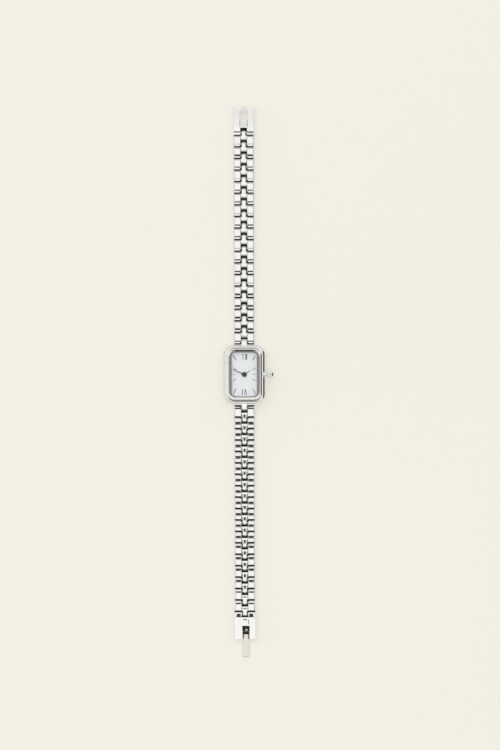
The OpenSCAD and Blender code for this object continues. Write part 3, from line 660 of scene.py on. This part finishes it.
def lug(bm, reach_pin, up):
    """Solid lug from inside the case wall out round the first pin."""
    tip = reach_pin + MIDDLE_R
    neck = CASE_HY + 1.1
    stations = [CASE_HY + s for s in (-1.0, -0.1, 0.05, 0.4, 0.75)] + [neck, reach_pin]
    rows = [(y, PIN_Z - MIDDLE_R, PIN_Z + MIDDLE_R) for y in stations]
    for a in (12, 24, 36, 48, 60, 70, 78, 84):
        half = MIDDLE_R * math.cos(math.radians(a))
        rows.append((reach_pin + MIDDLE_R * math.sin(math.radians(a)), PIN_Z - half, PIN_Z + half))
    made = []
    for y, z0, z1 in rows:
        if y < neck:
            hx = 1.05 - 0.17 * max(0.0, (y - CASE_HY - 0.05) / 1.05)
        else:
            t = (y - neck) / (tip - neck)
            hx = 0.88 - 0.1 * t - 0.33 * t**3
        made.append([(x * up, yy * up, z) for x, yy, z in middle_ring(y, hx, z0, z1)])
    loft(bm, made)


def case_mesh():
    # (half width, half length, corner, height) round the section, from under the rim outwards
    section = [
        (6.44, 9.37, 2.52, 0.2), (6.9, 9.9, 2.9, 0.2), (7.0, 10.0, 3.0, 0.22),
        (7.1, 10.1, 3.1, 0.3), (7.24, 10.24, 3.24, 0.5), (7.29, 10.29, 3.29, 0.62),
        (7.3, 10.3, 3.3, 0.75), (7.3, 10.3, 3.3, 1.6), (7.3, 10.3, 3.3, 2.4),
        (7.285, 10.285, 3.285, 2.5), (7.24, 10.24, 3.24, 2.57), (7.15, 10.15, 3.15, 2.66),
        (6.68, 9.68, 2.68, 3.09), (6.63, 9.63, 2.63, 3.13), (6.57, 9.58, 2.58, 3.165),
        (6.5, 9.55, 2.52, 3.185), (6.31, 9.5, 2.7, 3.195), (6.265, 9.47, 2.75, 3.22),
        (6.245, 9.45, 2.8, 3.32), (6.245, 9.45, 2.8, 4.2), (6.245, 9.45, 2.8, 5.22),
        (6.24, 9.445, 2.8, 5.28), (6.225, 9.435, 2.79, 5.315), (6.2, 9.41, 2.77, 5.34),
        (5.775, 9.0, 2.56, 5.65), (5.745, 8.97, 2.54, 5.67), (5.71, 8.93, 2.52, 5.685),
        (5.67, 8.88, 2.5, 5.695), (5.63, 8.83, 2.48, 5.69), (5.59, 8.78, 2.46, 5.68),
        (5.55, 8.73, 2.45, 5.665), (5.2, 8.43, 2.17, 5.51), (4.84, 8.13, 1.83, 5.35),
        (4.79, 8.085, 1.78, 5.315), (4.77, 8.07, 1.77, 5.27), (4.77, 8.07, 1.77, 4.6),
        (4.55, 7.85, 1.55, 4.6), (4.5, 7.8, 1.5, 4.55), (4.5, 7.8, 1.5, 3.8),
        (4.53, 7.83, 1.5, 3.75), (6.1, 8.44, 1.2, 3.75), (6.2, 8.45, 1.2, 3.6),
        (6.2, 8.45, 1.2, 0.57), (6.44, 9.37, 2.52, 0.57),
    ]
    bm = bmesh.new()
    loft(bm, [round_rect(*row, steps=14) for row in section], closed=True)
    for half, up in (("upper", 1), ("lower", -1)):
        values = HALVES[half]
        lug(bm, values["g1"] + values["pitch"] / 4, up)
    # crown tube
    tube = [(6.5, 0.72), (7.84, 0.72), (7.88, 0.7), (7.9, 0.66), (7.9, 0.5), (7.87, 0.42)]
    tube.append((7.6, 0.4))
    turned_x(bm, tube, 0.0, STEM_Z, 40)
    # the bezel's inner wall and the flange under the crystal's edge take a darker steel, as painted
    # shade
    for face in bm.faces:
        centre = face.calc_center_median()
        if abs(centre.x) < 4.785 and abs(centre.y) < 8.09 and 3.7 < centre.z < 5.42:
            face.material_index = 1
    return to_mesh(bm, "case_body_shape", [POLISHED, RING_SHADE], 30.0)


piece("case_middle", case_mesh(), "case", "case_body")


def case_back_mesh():
    section = [
        (5.2, 8.1, 1.5, 0.035), (5.5, 8.4, 1.7, 0.035), (5.58, 8.48, 1.75, 0.02),
        (5.66, 8.56, 1.8, 0.0), (6.2, 9.12, 2.3, 0.0), (6.34, 9.27, 2.42, 0.03),
        (6.4, 9.33, 2.48, 0.09), (6.42, 9.35, 2.5, 0.2), (6.42, 9.35, 2.5, 0.55),
        (5.93, 8.18, 1.0, 0.55), (5.93, 8.18, 1.0, 0.96), (5.88, 8.13, 0.95, 1.0),
        (5.48, 7.73, 0.85, 1.0), (5.43, 7.68, 0.8, 0.96), (5.43, 7.68, 0.8, 0.55),
    ]
    bm = bmesh.new()
    loft(bm, [round_rect(*row) for row in section])
    return to_mesh(bm, "case_back_shape", [FROSTED], 30.0)


piece("case_back_cover", case_back_mesh(), "case", "case_back")


# ---- dial furniture


def bar(bm, a, b, width, z0, height):
    """Raised stroke with sloped flanks from a to b."""
    a = Vector(a)
    b = Vector(b)
    along = (b - a).normalized()
    side = Vector((-along.y, along.x))
    rings = []
    for z, inset in ((z0, 0.0), (z0 + height * 0.6, 0.0), (z0 + height, 0.25)):
        half = width / 2 * (1 - inset)
        back = inset * width / 2
        ring = []
        for end, order in ((a + along * back, -1), (b - along * back, 1)):
            for s in (-1, 1):
                p = end + side * (s * order * half)
                ring.append((p.x, p.y, z))
        rings.append(ring)
    loft(bm, rings)


def dial_marks():
    height = 0.05
    open_hx = 4.5
    open_hy = 7.8
    strong = bmesh.new()
    middling = bmesh.new()
    faint = bmesh.new()

    def baton(bm, angle, r0, r1, width):
        a = math.radians(angle)
        d = Vector((math.sin(a), math.cos(a)))
        bar(bm, d * r0, d * r1, width, DIAL_Z, height)

    baton(strong, 150, 0.74 * open_hy, open_hy, 0.18)
    for angle in (30, 210, 330):
        baton(faint, angle, 0.74 * open_hy, open_hy, 0.42)
    for angle in (60, 120, 240, 300):
        baton(faint, angle, 0.71 * open_hx, open_hx, 0.3)
    for angle in (90, 270):
        baton(faint, angle, 0.65 * open_hx, 0.9 * open_hx, 0.2)
    y0 = 0.675 * open_hy
    y1 = 0.93 * open_hy
    thin = 0.12
    thick = 0.24
    strokes = [
        ((-0.66, y0), (-0.14, y1), thin),
        ((-0.66, y1), (-0.14, y0), thick),
        ((0.52, y0), (0.52, y1), 0.28),
        ((0.88, y0), (0.88, y1), 0.28),
        ((-0.62, -y0), (-0.62, -y1), thick),
        ((0.32, -y0), (0.02, -y1), thin),
        ((0.32, -y0), (0.72, -y1), thick),
    ]
    for a, b, width in strokes:
        kind = strong if a[1] < 0 else faint if b[0] < 0 else middling
        bar(kind, a, b, width, DIAL_Z, height)
    # serifs at the ends of the numerals
    for x0, x1 in ((-0.8, -0.52), (-0.28, 0.0), (0.34, 1.06)):
        for y in (y0, y1):
            bar(faint, (x0, y), (x1, y), 0.06, DIAL_Z, height * 0.8)
    for x0, x1, y in ((-0.79, -0.45, y0), (-0.79, -0.45, y1), (-0.1, 0.14, y1), (0.55, 0.89, y1)):
        bar(strong, (x0, -y), (x1, -y), 0.06, DIAL_Z, height * 0.8)
    # minute track inside the edge of the opening
    track = bmesh.new()
    track_hx = 4.36
    track_hy = 7.64
    for k in range(60):
        a = 2 * math.pi * k / 60
        d = Vector((math.sin(a), math.cos(a)))
        reach = min(track_hx / max(abs(d.x), 1e-6), track_hy / max(abs(d.y), 1e-6))
        length = 0.16 if k % 5 else 0.26
        bar(track, d * (reach - length), d * reach, 0.07, DIAL_Z, 0.02)
    for name, bm, material in (
        ("dial_numerals", strong, PRINT),
        ("dial_twelve", middling, PRINT_GREY),
        ("dial_batons", faint, PRINT_PALE),
        ("minute_track", track, PRINT_PALE),
    ):
        piece(name, to_mesh(bm, name, [material]), "case", "hour_markers")


dial_marks()


def hand_mesh(name, angle, reach, w0, w1, z0, hub, material):
    """Hand with a ridge along it, w0 wide at the hub and w1 near its tip."""
    bm = bmesh.new()
    rings = []
    waist = w1 + (w0 - w1) * 0.4
    for r, w in (
        (0.0, w0 * 0.8), (0.0, w0), (reach * 0.6, waist), (reach - 0.1, w1), (reach, w1 * 0.4),
    ):
        x = w / 2
        flank = z0 + 0.035
        rings.append([(-x, r, z0), (x, r, z0), (x, r, flank), (0, r, z0 + 0.1), (-x, r, flank)])
    loft(bm, rings)
    bmesh.ops.rotate(bm, matrix=Matrix.Rotation(-math.radians(angle), 3, "Z"), verts=bm.verts)
    turned_z(bm, hub, material=1)
    return to_mesh(bm, name, [material, HUB], 25.0)


# (radius, height) round the hands' hubs
HOUR_HUB = [(0.02, 4.0), (0.68, 4.0), (0.72, 4.03), (0.7, 4.07), (0.62, 4.1), (0.02, 4.1)]
MINUTE_HUB = [
    (0.02, 4.24), (0.84, 4.24), (0.88, 4.27), (0.87, 4.31),
    (0.82, 4.34), (0.5, 4.385), (0.25, 4.41), (0.02, 4.415),
]
piece(
    "hour_hand_blade",
    hand_mesh("hour_hand_blade", HOUR_ANGLE, 2.5, 0.36, 0.24, HOUR_Z, HOUR_HUB, HAND_HIGHLIGHT),
    "hour_train", "hour_hand",
)
piece(
    "minute_hand_blade",
    hand_mesh(
        "minute_hand_blade", MINUTE_ANGLE, 4.3, 0.28, 0.16, MINUTE_Z, MINUTE_HUB, HAND_DARK
    ),
    "minute_train", "minute_hand",
)

# ---- crown


def crown_mesh():
    per_flute = 8
    count = CROWN_FLUTES * per_flute

    def ring(x, r, depth):
        points = []
        for k in range(count):
            a = 2 * math.pi * k / count
            rr = r - depth * (0.5 + 0.5 * math.cos(CROWN_FLUTES * a)) ** 2
            points.append((CROWN_X0 + x, rr * math.cos(a), STEM_Z + rr * math.sin(a)))
        return points

    # (distance from the inner end, radius, depth of the flutes)
    rows = [
        (0.55, 0.36, 0), (0.55, 0.78, 0), (0.03, 0.78, 0), (0, 0.81, 0), (0, 0.94, 0),
        (0.03, 1.0, 0.02), (0.1, 1.07, 0.07), (0.18, CROWN_R, 0.1), (1.0, CROWN_R, 0.1),
        (1.44, CROWN_R, 0.1), (1.51, 1.07, 0.07), (1.56, 1.01, 0.02), (1.58, 0.97, 0),
        (1.6, 0.92, 0), (1.605, 0.62, 0), (1.91, 0.62, 0), (1.915, 0.8, 0), (1.93, 0.85, 0),
        (1.97, 0.85, 0), (2.02, 0.74, 0), (2.06, 0.5, 0), (2.085, 0.25, 0), (2.09, 0.04, 0),
    ]
    bm = bmesh.new()
    loft(bm, [ring(*row) for row in rows])
    # turned groove before the domed end; its black paint is a painted dark reflection
    for face in bm.faces:
        if 1.6 < face.calc_center_median().x - CROWN_X0 < 1.914:
            face.material_index = 1
    return to_mesh(bm, "crown_knob", [CROWN, DEEP], 40.0)


piece("crown_knob", crown_mesh(), "crown", "crown")


def stem_mesh():
    bm = bmesh.new()
    profile = [
        (3.45, 0.28), (3.5, 0.34), (3.93, 0.34), (3.95, 0.32), (3.95, 0.2),
        (4.19, 0.2), (4.19, 0.32), (4.21, 0.34), (8.9, 0.34), (8.95, 0.3),
    ]
    turned_x(bm, profile, 0.0, STEM_Z, 32)
    return to_mesh(bm, "crown_stem", [POLISHED])


piece("crown_stem", stem_mesh(), "crown", "crown")

# ---- the two end pieces; s is the distance from the last link's end

UPPER_END = HALVES["upper"]["g1"] + LINKS * HALVES["upper"]["pitch"]
LOWER_END = HALVES["lower"]["g1"] + LINKS * HALVES["lower"]["pitch"]
END_L = 9.95
SLOT_HX = 1.2
UPPER_PIN = UPPER_END + HALVES["upper"]["pitch"] / 4
LOWER_PIN = LOWER_END + HALVES["lower"]["pitch"] / 4

# Catch frame: end of the slot, block and window from and to, grooves beside the block
CATCH_SLOT = 2.65
BLOCK = (2.95, 5.4)
BLOCK_CUT = 5.15
WINDOW = (5.5, 8.3)
WINDOW_HX = 1.48
GROOVE_X = (1.32, 1.44)
GROOVE_Z = 1.4
BAR_TOP = 1.45

# Clasp: the gap and the arm stand off its middle; short groove, slit and hollow in its top
CLASP_HX = 3.63
CLASP_TOP = 1.9
CLASP_X = 0.35
CLASP_GAP = 1.3
CLASP_SLOT = 2.1
DASH = (2.8, 3.12)
DASH_HX = 0.7
DASH_Z = 1.65
SLIT = (3.0, 4.5)
SLIT_X = (-1.37, -1.17)
SLIT_Z = 1.6
HOLLOW = (5.1, 7.1)
HOLLOW_Z = (1.15, 1.4)
AXLE_Y = LOWER_END + 7.75
AXLE_Z = 0.62
ARM_HX = 1.15
ARM_REACH = 6.2
STUD = (-0.52, LOWER_END + 6.6)


def paint_shade_inside(bm, half_width, top, y_range):
    """Faces that look into a gap or slot in that range of y take the second material, black paint
    for the shade there.
    """
    for face in bm.faces:
        centre = face.calc_center_median()
        steep = abs(face.normal.z) < 0.3
        if steep and abs(centre.x) < half_width - 0.2 and centre.z < top - 0.25:
            if y_range[0] < centre.y < y_range[1]:
                face.material_index = 1


def end_lips(bm, y0, hx):
    # the lips are painted black, as painted shade under the gap
    reach = LINK_GAP + LIP_UNDER
    for side in (1, -1):
        rings = []
        for s, inset in ((-reach, 0.03), (-reach + 0.03, 0.0), (-0.2, 0.0), (0.2, 0.0)):
            ring = lip_ring(y0 + s, 1.22, hx - 0.02, inset)
            rings.append([(side * x, y, z) for x, y, z in ring])
        loft(bm, rings, material=1)


def plate(bm, x0, x1, y0, y1):
    """Thin plate between the lips' heights, painted black as shade under the gap."""
    low = LIP_Z0 + 0.01
    high = LIP_Z1 - 0.02
    rings = [[(x0, y, low), (x1, y, low), (x1, y, high), (x0, y, high)] for y in (y0, y1)]
    loft(bm, rings, material=1)


def end_tabs(bm, end, near, left, right):
    """Thin tabs that close the slits beside the last tongue from below, painted black as shade in
    the slits.
    """
    inner = MIDDLE_HX + SKIRT_CLEAR
    for x0, x1 in ((-left, -inner), (inner, right)):
        plate(bm, x0, x1, end, near + 0.8)


def cut_at(bm, point, across):
    geom = bm.verts[:] + bm.edges[:] + bm.faces[:]
    bmesh.ops.bisect_plane(bm, geom=geom, plane_co=point, plane_no=across)


def bend_top(bm, cuts, over, drop, cuts_x=()):
    """Cuts the skin at the given y and x and lowers its points above "over" by drop(x, y)."""
    for y in cuts:
        cut_at(bm, (0, y, 0), (0, 1, 0))
    for x in cuts_x:
        cut_at(bm, (x, 0, 0), (1, 0, 0))
    for vert in bm.verts:
        if vert.co.z > over:
            vert.co.z -= drop(vert.co.x, vert.co.y)


def within(value, ends, margin=0.0):
    return ends[0] - margin < value < ends[1] + margin


def side_edges(hx, low):
    """Picks the edges that run along both sides of an end piece above low."""

    def chosen(edge):
        return all(abs(abs(v.co.x) - hx) < 1e-4 and v.co.z > low for v in edge.verts)

    return chosen


def rise(points, y):
    """Value at y of a line through (y, value) points; level beyond its ends."""
    if y <= points[0][0]:
        return points[0][1]
    for (a, va), (b, vb) in zip(points, points[1:]):
        if y <= b:
            return va + (vb - va) * (y - a) / (b - a)
    return points[-1][1]


def catch_mesh():
    bm = bmesh.new()
    y0 = UPPER_END + LINK_GAP / 2
    half = [SLOT_HX, *GROOVE_X, WINDOW_HX, BAND_HX]
    xs = [-x for x in half[::-1]] + half
    ys = [y0] + [UPPER_END + s for s in (CATCH_SLOT, *BLOCK, *WINDOW, END_L)]
    zs = [0, GROOVE_Z, BAR_TOP, LINK_T]

    def solid(x, y, z):
        s = y - UPPER_END
        ax = abs(x)
        slot = ax < SLOT_HX and s < CATCH_SLOT
        window = ax < WINDOW_HX and within(s, WINDOW)
        over_bar = ax < WINDOW_HX and s > WINDOW[1] and z > BAR_TOP
        groove = within(ax, GROOVE_X) and within(s, BLOCK) and z > GROOVE_Z
        return not (slot or window or over_bar or groove)

    lattice(bm, xs, ys, zs, solid)
    near = [(y0, 0.29), (y0 + 0.12, 0.25), (y0 + 0.72, 0.21), (y0 + 1.14, 0.0)]
    cuts = [y for y, _ in near[1:]] + [y0 + 0.735, y0 + 1.125, UPPER_END + BLOCK_CUT]
    bend_top(bm, cuts, 1.7, lambda x, y: rise(near, y))
    soften(bm, 0.3, 4, side_edges(BAND_HX, 1.5))
    soften(bm, 0.07)
    # the catch bar slopes into the window
    w0 = UPPER_END + WINDOW[1]
    bar_line = [(w0, 0.26), (w0 + 0.75, 0.0)]
    for s in (0.75, 0.73, 0.1):
        cut_at(bm, (0, w0 + s, 0), (0, 1, 0))
    for vert in bm.verts:
        if abs(vert.co.x) < 1.5 and w0 - 0.01 < vert.co.y < w0 + 0.76 and 1.3 < vert.co.z < 1.5:
            vert.co.z -= rise(bar_line, vert.co.y)
    bmesh.ops.recalc_face_normals(bm, faces=bm.faces)
    paint_shade_inside(bm, BAND_HX, LINK_T, (y0 - 1, UPPER_END + 2.8))
    # satin middle block and catch bar; the grooves beside the block are painted black as shade
    for face in bm.faces:
        x, y, z = face.calc_center_median()
        ax = abs(x)
        s = y - UPPER_END
        on_top = BLOCK[0] - 0.05 < s < BLOCK_CUT or s > WINDOW[1]
        if face.normal.z > 0.97 and ax < WINDOW_HX - 0.02 and on_top:
            face.material_index = 2
        in_groove = within(ax, GROOVE_X, 0.01) and GROOVE_Z - 0.02 < z < 1.75
        if in_groove and within(s, BLOCK, 0.05):
            face.material_index = 1
    end_lips(bm, y0, BAND_HX)
    # black cradle under the last tongue, painted shade in the slot
    hollow = [(UPPER_PIN + CRADLE_S, PIN_Z - MIDDLE_R)]
    for k in range(9):
        a = math.radians(-50 + 50 * k / 8)
        hollow.append((UPPER_PIN + CRADLE_R * math.cos(a), PIN_Z + CRADLE_R * math.sin(a)))
    wide = SLOT_HX + 0.1
    far = UPPER_END + 2.8
    hollow += [(UPPER_PIN + 1.3, PIN_Z + 0.42), (far, PIN_Z + 0.6), (far, PIN_Z - MIDDLE_R)]
    loft(bm, [[(x, y, z) for y, z in hollow] for x in (-wide, wide)], material=1)
    end_tabs(bm, UPPER_END, UPPER_PIN, wide, wide)
    return to_mesh(bm, "catch_frame_shape", [POLISHED, DEEP, SATIN])


piece("catch_frame_body", catch_mesh(), "catch_frame", "catch_frame")
piece(
    "catch_frame_pin",
    pin_mesh("catch_frame_pin", UPPER_PIN, BAND_HX),
    "catch_frame", "catch_frame",
)


def clasp_mesh():
    bm = bmesh.new()
    hx = CLASP_HX
    top = CLASP_TOP
    y0 = LOWER_END + LINK_GAP / 2
    y1 = LOWER_END + END_L
    xs = [-hx, -CLASP_X - CLASP_GAP, SLIT_X[0], -SLOT_HX, SLIT_X[1]]
    xs += [-DASH_HX, DASH_HX, CLASP_GAP - CLASP_X, SLOT_HX, hx]
    ys = [y0] + [LOWER_END + s for s in (CLASP_SLOT, DASH[0], SLIT[0], DASH[1], SLIT[1], *HOLLOW)]
    ys.append(y1)
    zs = [0, *HOLLOW_Z, SLIT_Z, DASH_Z, top]

    def solid(x, y, z):
        s = y - LOWER_END
        slot = abs(x) < SLOT_HX and s < CLASP_SLOT
        open_end = z < HOLLOW_Z[0] or s > HOLLOW[1] or s > HOLLOW[0] and z > HOLLOW_Z[1]
        gap = abs(x + CLASP_X) < CLASP_GAP and open_end
        dash = abs(x) < DASH_HX and within(s, DASH) and z > DASH_Z
        slit = within(x, SLIT_X) and within(s, SLIT) and z > SLIT_Z
        return not (slot or gap or dash or slit)

    lattice(bm, xs, ys, zs, solid)
    near = [(y0, 0.42), (y0 + 0.2, 0.33), (y0 + 0.6, 0.19), (y0 + 1.85, 0.0)]

    def drop(x, y):
        ax = abs(x)
        side = 0.175 * max(0.0, ax - 2.7) ** 2 + 0.175 * max(0.0, 1.75 - ax) ** 2
        fade = max(0.0, min(1.0, (y0 + 1.87 - y) / 0.37))
        return rise(near, y) + side * fade

    steps = (1.35, 1.5, 1.62, 1.75, 2.7, 2.85, 3.0, 3.15, 3.3)
    cuts_x = [sign * x for x in steps for sign in (-1, 1)]
    bend_top(bm, [y for y, _ in near[1:]] + [y0 + 1.2, y0 + 1.5, y0 + 1.8], 1.7, drop, cuts_x)

    def end_top(edge):
        return all(abs(v.co.y - y1) < 1e-4 and v.co.z > top - 0.4 for v in edge.verts)

    soften(bm, 0.4, 4, side_edges(hx, 1.3))
    soften(bm, 0.35, 4, end_top)
    soften(bm, 0.06)
    bmesh.ops.recalc_face_normals(bm, faces=bm.faces)
    paint_shade_inside(bm, hx, top, (y0 - 1, y1 - 0.02))
    # the hollow, the short groove and the slit are painted black as shade
    for face in bm.faces:
        x, y, z = face.calc_center_median()
        s = y - LOWER_END
        hollow = abs(x + CLASP_X) < CLASP_GAP + 0.02 and z > HOLLOW_Z[0] - 0.05
        hollow = hollow and HOLLOW[0] - 0.05 < s < HOLLOW[1] + 0.02
        dash = abs(x) < DASH_HX + 0.02 and within(s, DASH, 0.02)
        slit = within(x, SLIT_X, 0.02) and within(s, SLIT, 0.02)
        if z < top - 0.07 and (hollow or dash or slit):
            face.material_index = 1
    end_lips(bm, y0, hx)
    stud = [(0.38, 1.38), (0.38, 1.62), (0.35, 1.7), (0.26, 1.76), (0.12, 1.785), (0.02, 1.79)]
    turned_z(bm, stud, 32, 0, *STUD)
    # tabs and thin floor under the last tongue's slot, painted black as shade
    wide = CLASP_GAP + CLASP_X + 0.1
    end_tabs(bm, LOWER_END, LOWER_PIN, wide, SLOT_HX + 0.1)
    plate(bm, -wide, SLOT_HX + 0.1, LOWER_PIN + 0.72, LOWER_END + CLASP_SLOT + 0.2)
    bmesh.ops.rotate(bm, matrix=Matrix.Rotation(math.pi, 3, "Z"), verts=bm.verts)
    return to_mesh(bm, "clasp_body_shape", [POLISHED, DEEP])


piece("clasp_shell", clasp_mesh(), "clasp_body", "clasp_body")
piece(
    "clasp_link_pin",
    pin_mesh("clasp_link_pin", -LOWER_PIN, CLASP_HX),
    "clasp_body", "clasp_body",
)
piece(
    "clasp_hinge_pin",
    pin_mesh("clasp_hinge_pin", -AXLE_Y, CLASP_HX, AXLE_Z, HINGE_PIN),
    "clasp_body", "clasp_body",
)


def arm_mesh():
    bm = bmesh.new()
    tip = LOWER_END + END_L + ARM_REACH
    hx = ARM_HX
    rows = []
    for y, low, high, half in (
        (AXLE_Y + 0.1, 0.14, 0.8, hx),
        (AXLE_Y + 0.6, 0.12, 0.82, hx),
        (AXLE_Y + 3.0, 0.12, 0.82, hx),
        (tip - 0.3, 0.12, 0.82, hx),
        (tip - 0.12, 0.13, 0.81, hx - 0.02),
        (tip - 0.03, 0.18, 0.76, hx - 0.06),
        (tip, 0.26, 0.68, hx - 0.14),
    ):
        side = [(half - 0.08, low), (half, low + 0.08), (half, high - 0.3)]
        side += [(half - 0.06, high - 0.23), (0.3, high - 0.03), (0.12, high)]
        outline = side + [(-x, z) for x, z in side[::-1]]
        rows.append([(x, y, z) for x, z in outline])
    loft(bm, rows)
    # the hinge barrel is painted black, as painted shade in the clasp's hollow
    barrel = [(-hx, 0.3), (-hx, 0.46), (-hx + 0.05, 0.52), (hx - 0.05, 0.52), (hx, 0.46), (hx, 0.3)]
    turned_x(bm, barrel, AXLE_Y, AXLE_Z, 40, 1)
    bmesh.ops.translate(bm, vec=(-CLASP_X, 0, 0), verts=bm.verts)
    bmesh.ops.rotate(bm, matrix=Matrix.Rotation(math.pi, 3, "Z"), verts=bm.verts)
    return to_mesh(bm, "clasp_arm_shape", [ARM_STEEL, DEEP])


piece("clasp_hook_arm", arm_mesh(), "clasp_arm", "clasp_arm")

# ---- finishes of the CAD nodes that stay

NODE_FINISH = {
    "crystal": CRYSTAL,
    "dial": DIAL,
    "back_gasket": RUBBER,
    "movement_holder": PLASTIC,
    "main_plate": BRASS,
    "train_bridge": BRIDGE,
    "battery": CELL,
    "motor_coil": COPPER,
    "circuit_board": BOARD,
    "rotor": MAGNET,
    "third_wheel": WHEEL,
    "centre_wheel": WHEEL,
    "minute_wheel": WHEEL,
    "hour_wheel": WHEEL,
    "setting_slide": BRIDGE,
}
for name, material in NODE_FINISH.items():
    mesh = NODES[name].data
    mesh.materials.clear()
    mesh.materials.append(material)

# ---- floor, light and camera, in metres

FLOOR_HALF = 2.0
FLOOR_GAP = 0.00002


def floor():
    """Pale card; to the camera, mirrors and glass part of it is plain background colour."""
    colour = (0.86, 0.84, 0.765)
    mat, tree, shader = principled("floor_card", colour, 0.0, 0.9, Specular_IOR_Level=0.1)
    broad = noise_at(tree, 0.004)
    tint(tree, shader, broad, (0.865, 0.842, 0.762), (0.88, 0.857, 0.777))
    bumped(tree, shader, noise_at(tree, 0.8), 0.02, 0.02)
    path = node(tree, "LightPath").outputs
    seen = path["Is Camera Ray"]
    for extra in ("Is Glossy Ray", "Is Transmission Ray"):
        seen = calc(tree, "MAXIMUM", seen, path[extra])
    plain = node(tree, "Emission", Color=(0.967, 0.959, 0.853, 1.0))
    mix = node(tree, "MixShader")
    out = next(n for n in tree.nodes if n.type == "OUTPUT_MATERIAL")
    tree.links.new(calc(tree, "MULTIPLY", seen, 0.45), mix.inputs[0])
    link(tree, shader, "BSDF", mix, 1)
    link(tree, plain, "Emission", mix, 2)
    link(tree, mix, "Shader", out, "Surface")
    bm = bmesh.new()
    bmesh.ops.create_grid(bm, x_segments=8, y_segments=8, size=FLOOR_HALF)
    mesh = bpy.data.meshes.new("floor")
    bm.to_mesh(mesh)
    bm.free()
    mesh.materials.append(mat)
    made = bpy.data.objects.new("floor", mesh)
    made.location.z = -FLOOR_GAP
    bpy.context.scene.collection.objects.link(made)


def studio():
    """Even dome of light with a few dark cards for the polished steel to reflect."""
    world = bpy.data.worlds.new("studio")
    bpy.context.scene.world = world
    world.use_nodes = True
    tree = world.node_tree
    back = next(n for n in tree.nodes if n.type == "BACKGROUND")
    where = node(tree, "TexCoord").outputs["Generated"]
    parts = node(tree, "SeparateXYZ")
    tree.links.new(where, parts.inputs["Vector"])

    def times(a, b):
        return calc(tree, "MULTIPLY", a, b)

    def smooth(given, *ends):
        return remap(tree, given, *ends)

    value = smooth(parts.outputs["Z"], 0.1, 0.85, 1.0, 1.28)
    # centre x, y and half size x, y of each card seen from below on the dome, then how light it is
    cards = (
        (0.0, 0.255, 0.165, 0.135, 0.04),
        (1.0, 0.0, 0.10, 0.85, 0.12),
    )
    for x, y, hx, hy, tone in cards:
        away = vector_calc(tree, "SUBTRACT", where, (x, y, 0))
        scaled = vector_calc(tree, "MULTIPLY", away, (1 / hx, 1 / hy, 0))
        apart = node(tree, "SeparateXYZ")
        tree.links.new(vector_calc(tree, "ABSOLUTE", scaled), apart.inputs[0])
        reach = calc(tree, "MAXIMUM", apart.outputs["X"], apart.outputs["Y"])
        value = times(value, smooth(reach, 0.85, 1.15, tone, 1.0))
    # dark band round the dome, open towards +Y
    radius = vector_calc(tree, "LENGTH", vector_calc(tree, "MULTIPLY", where, (1, 1, 0)))
    heading = calc(tree, "DIVIDE", parts.outputs["Y"], calc(tree, "MAXIMUM", radius, 0.01))
    depth = times(smooth(heading, 0.35, 0.95, 0.74, 0.06), smooth(heading, -1.0, -0.85, 1.28, 1.0))
    outer = smooth(radius, 0.845, 0.9, 1.0, 0.0)
    dark = times(times(smooth(radius, 0.68, 0.735, 0.0, 1.0), outer), depth)
    # towards -Y it begins gradually
    slow = times(smooth(radius, 0.42, 0.72, 0.0, 0.64), outer)
    slow = times(slow, smooth(heading, -0.95, -0.6, 1.0, 0.0))
    dark = calc(tree, "MAXIMUM", dark, slow)
    # low band near the horizon, dark towards -Y and grey towards +Y
    low = times(smooth(radius, 0.9, 0.925, 0.0, 1.0), smooth(radius, 0.975, 0.99, 1.0, 0.0))
    near = smooth(heading, -0.75, -0.15, 0.75, 0.0)
    ends = calc(tree, "ADD", near, smooth(heading, 0.4, 0.9, 0.0, 0.5))
    dark = calc(tree, "MAXIMUM", dark, times(low, ends))
    value = times(value, calc(tree, "SUBTRACT", 1.0, dark))
    tree.links.new(value, back.inputs["Strength"])
    back.inputs["Color"].default_value = (1.0, 0.995, 0.98, 1.0)

    lamp = bpy.data.lights.new("soft_box", "AREA")
    lamp.shape = "SQUARE"
    lamp.size = 0.9
    lamp.energy = 1.6
    made = bpy.data.objects.new("soft_box", lamp)
    made.location = (-0.75, 0.45, 1.0)
    made.rotation_euler = (-made.location).to_track_quat("-Z", "Y").to_euler()
    made.visible_glossy = False
    bpy.context.scene.collection.objects.link(made)


def camera():
    """Straight above, so that the picture takes in 266.25 mm from top to bottom."""
    distance = 1.0
    field = 0.26625
    data = bpy.data.cameras.new("photo_view")
    data.sensor_width = 36.0
    data.sensor_fit = "AUTO"
    data.lens = data.sensor_width * distance / field
    data.clip_start = 0.01
    data.clip_end = 20.0
    made = bpy.data.objects.new("photo_view", data)
    made.location = (2.02 * MM, -0.18 * MM, distance)
    made.rotation_euler = (0.0, 0.0, math.radians(-0.16))
    bpy.context.scene.collection.objects.link(made)
    bpy.context.scene.camera = made


floor()
studio()
camera()

bpy.context.scene.view_settings.view_transform = "Standard"
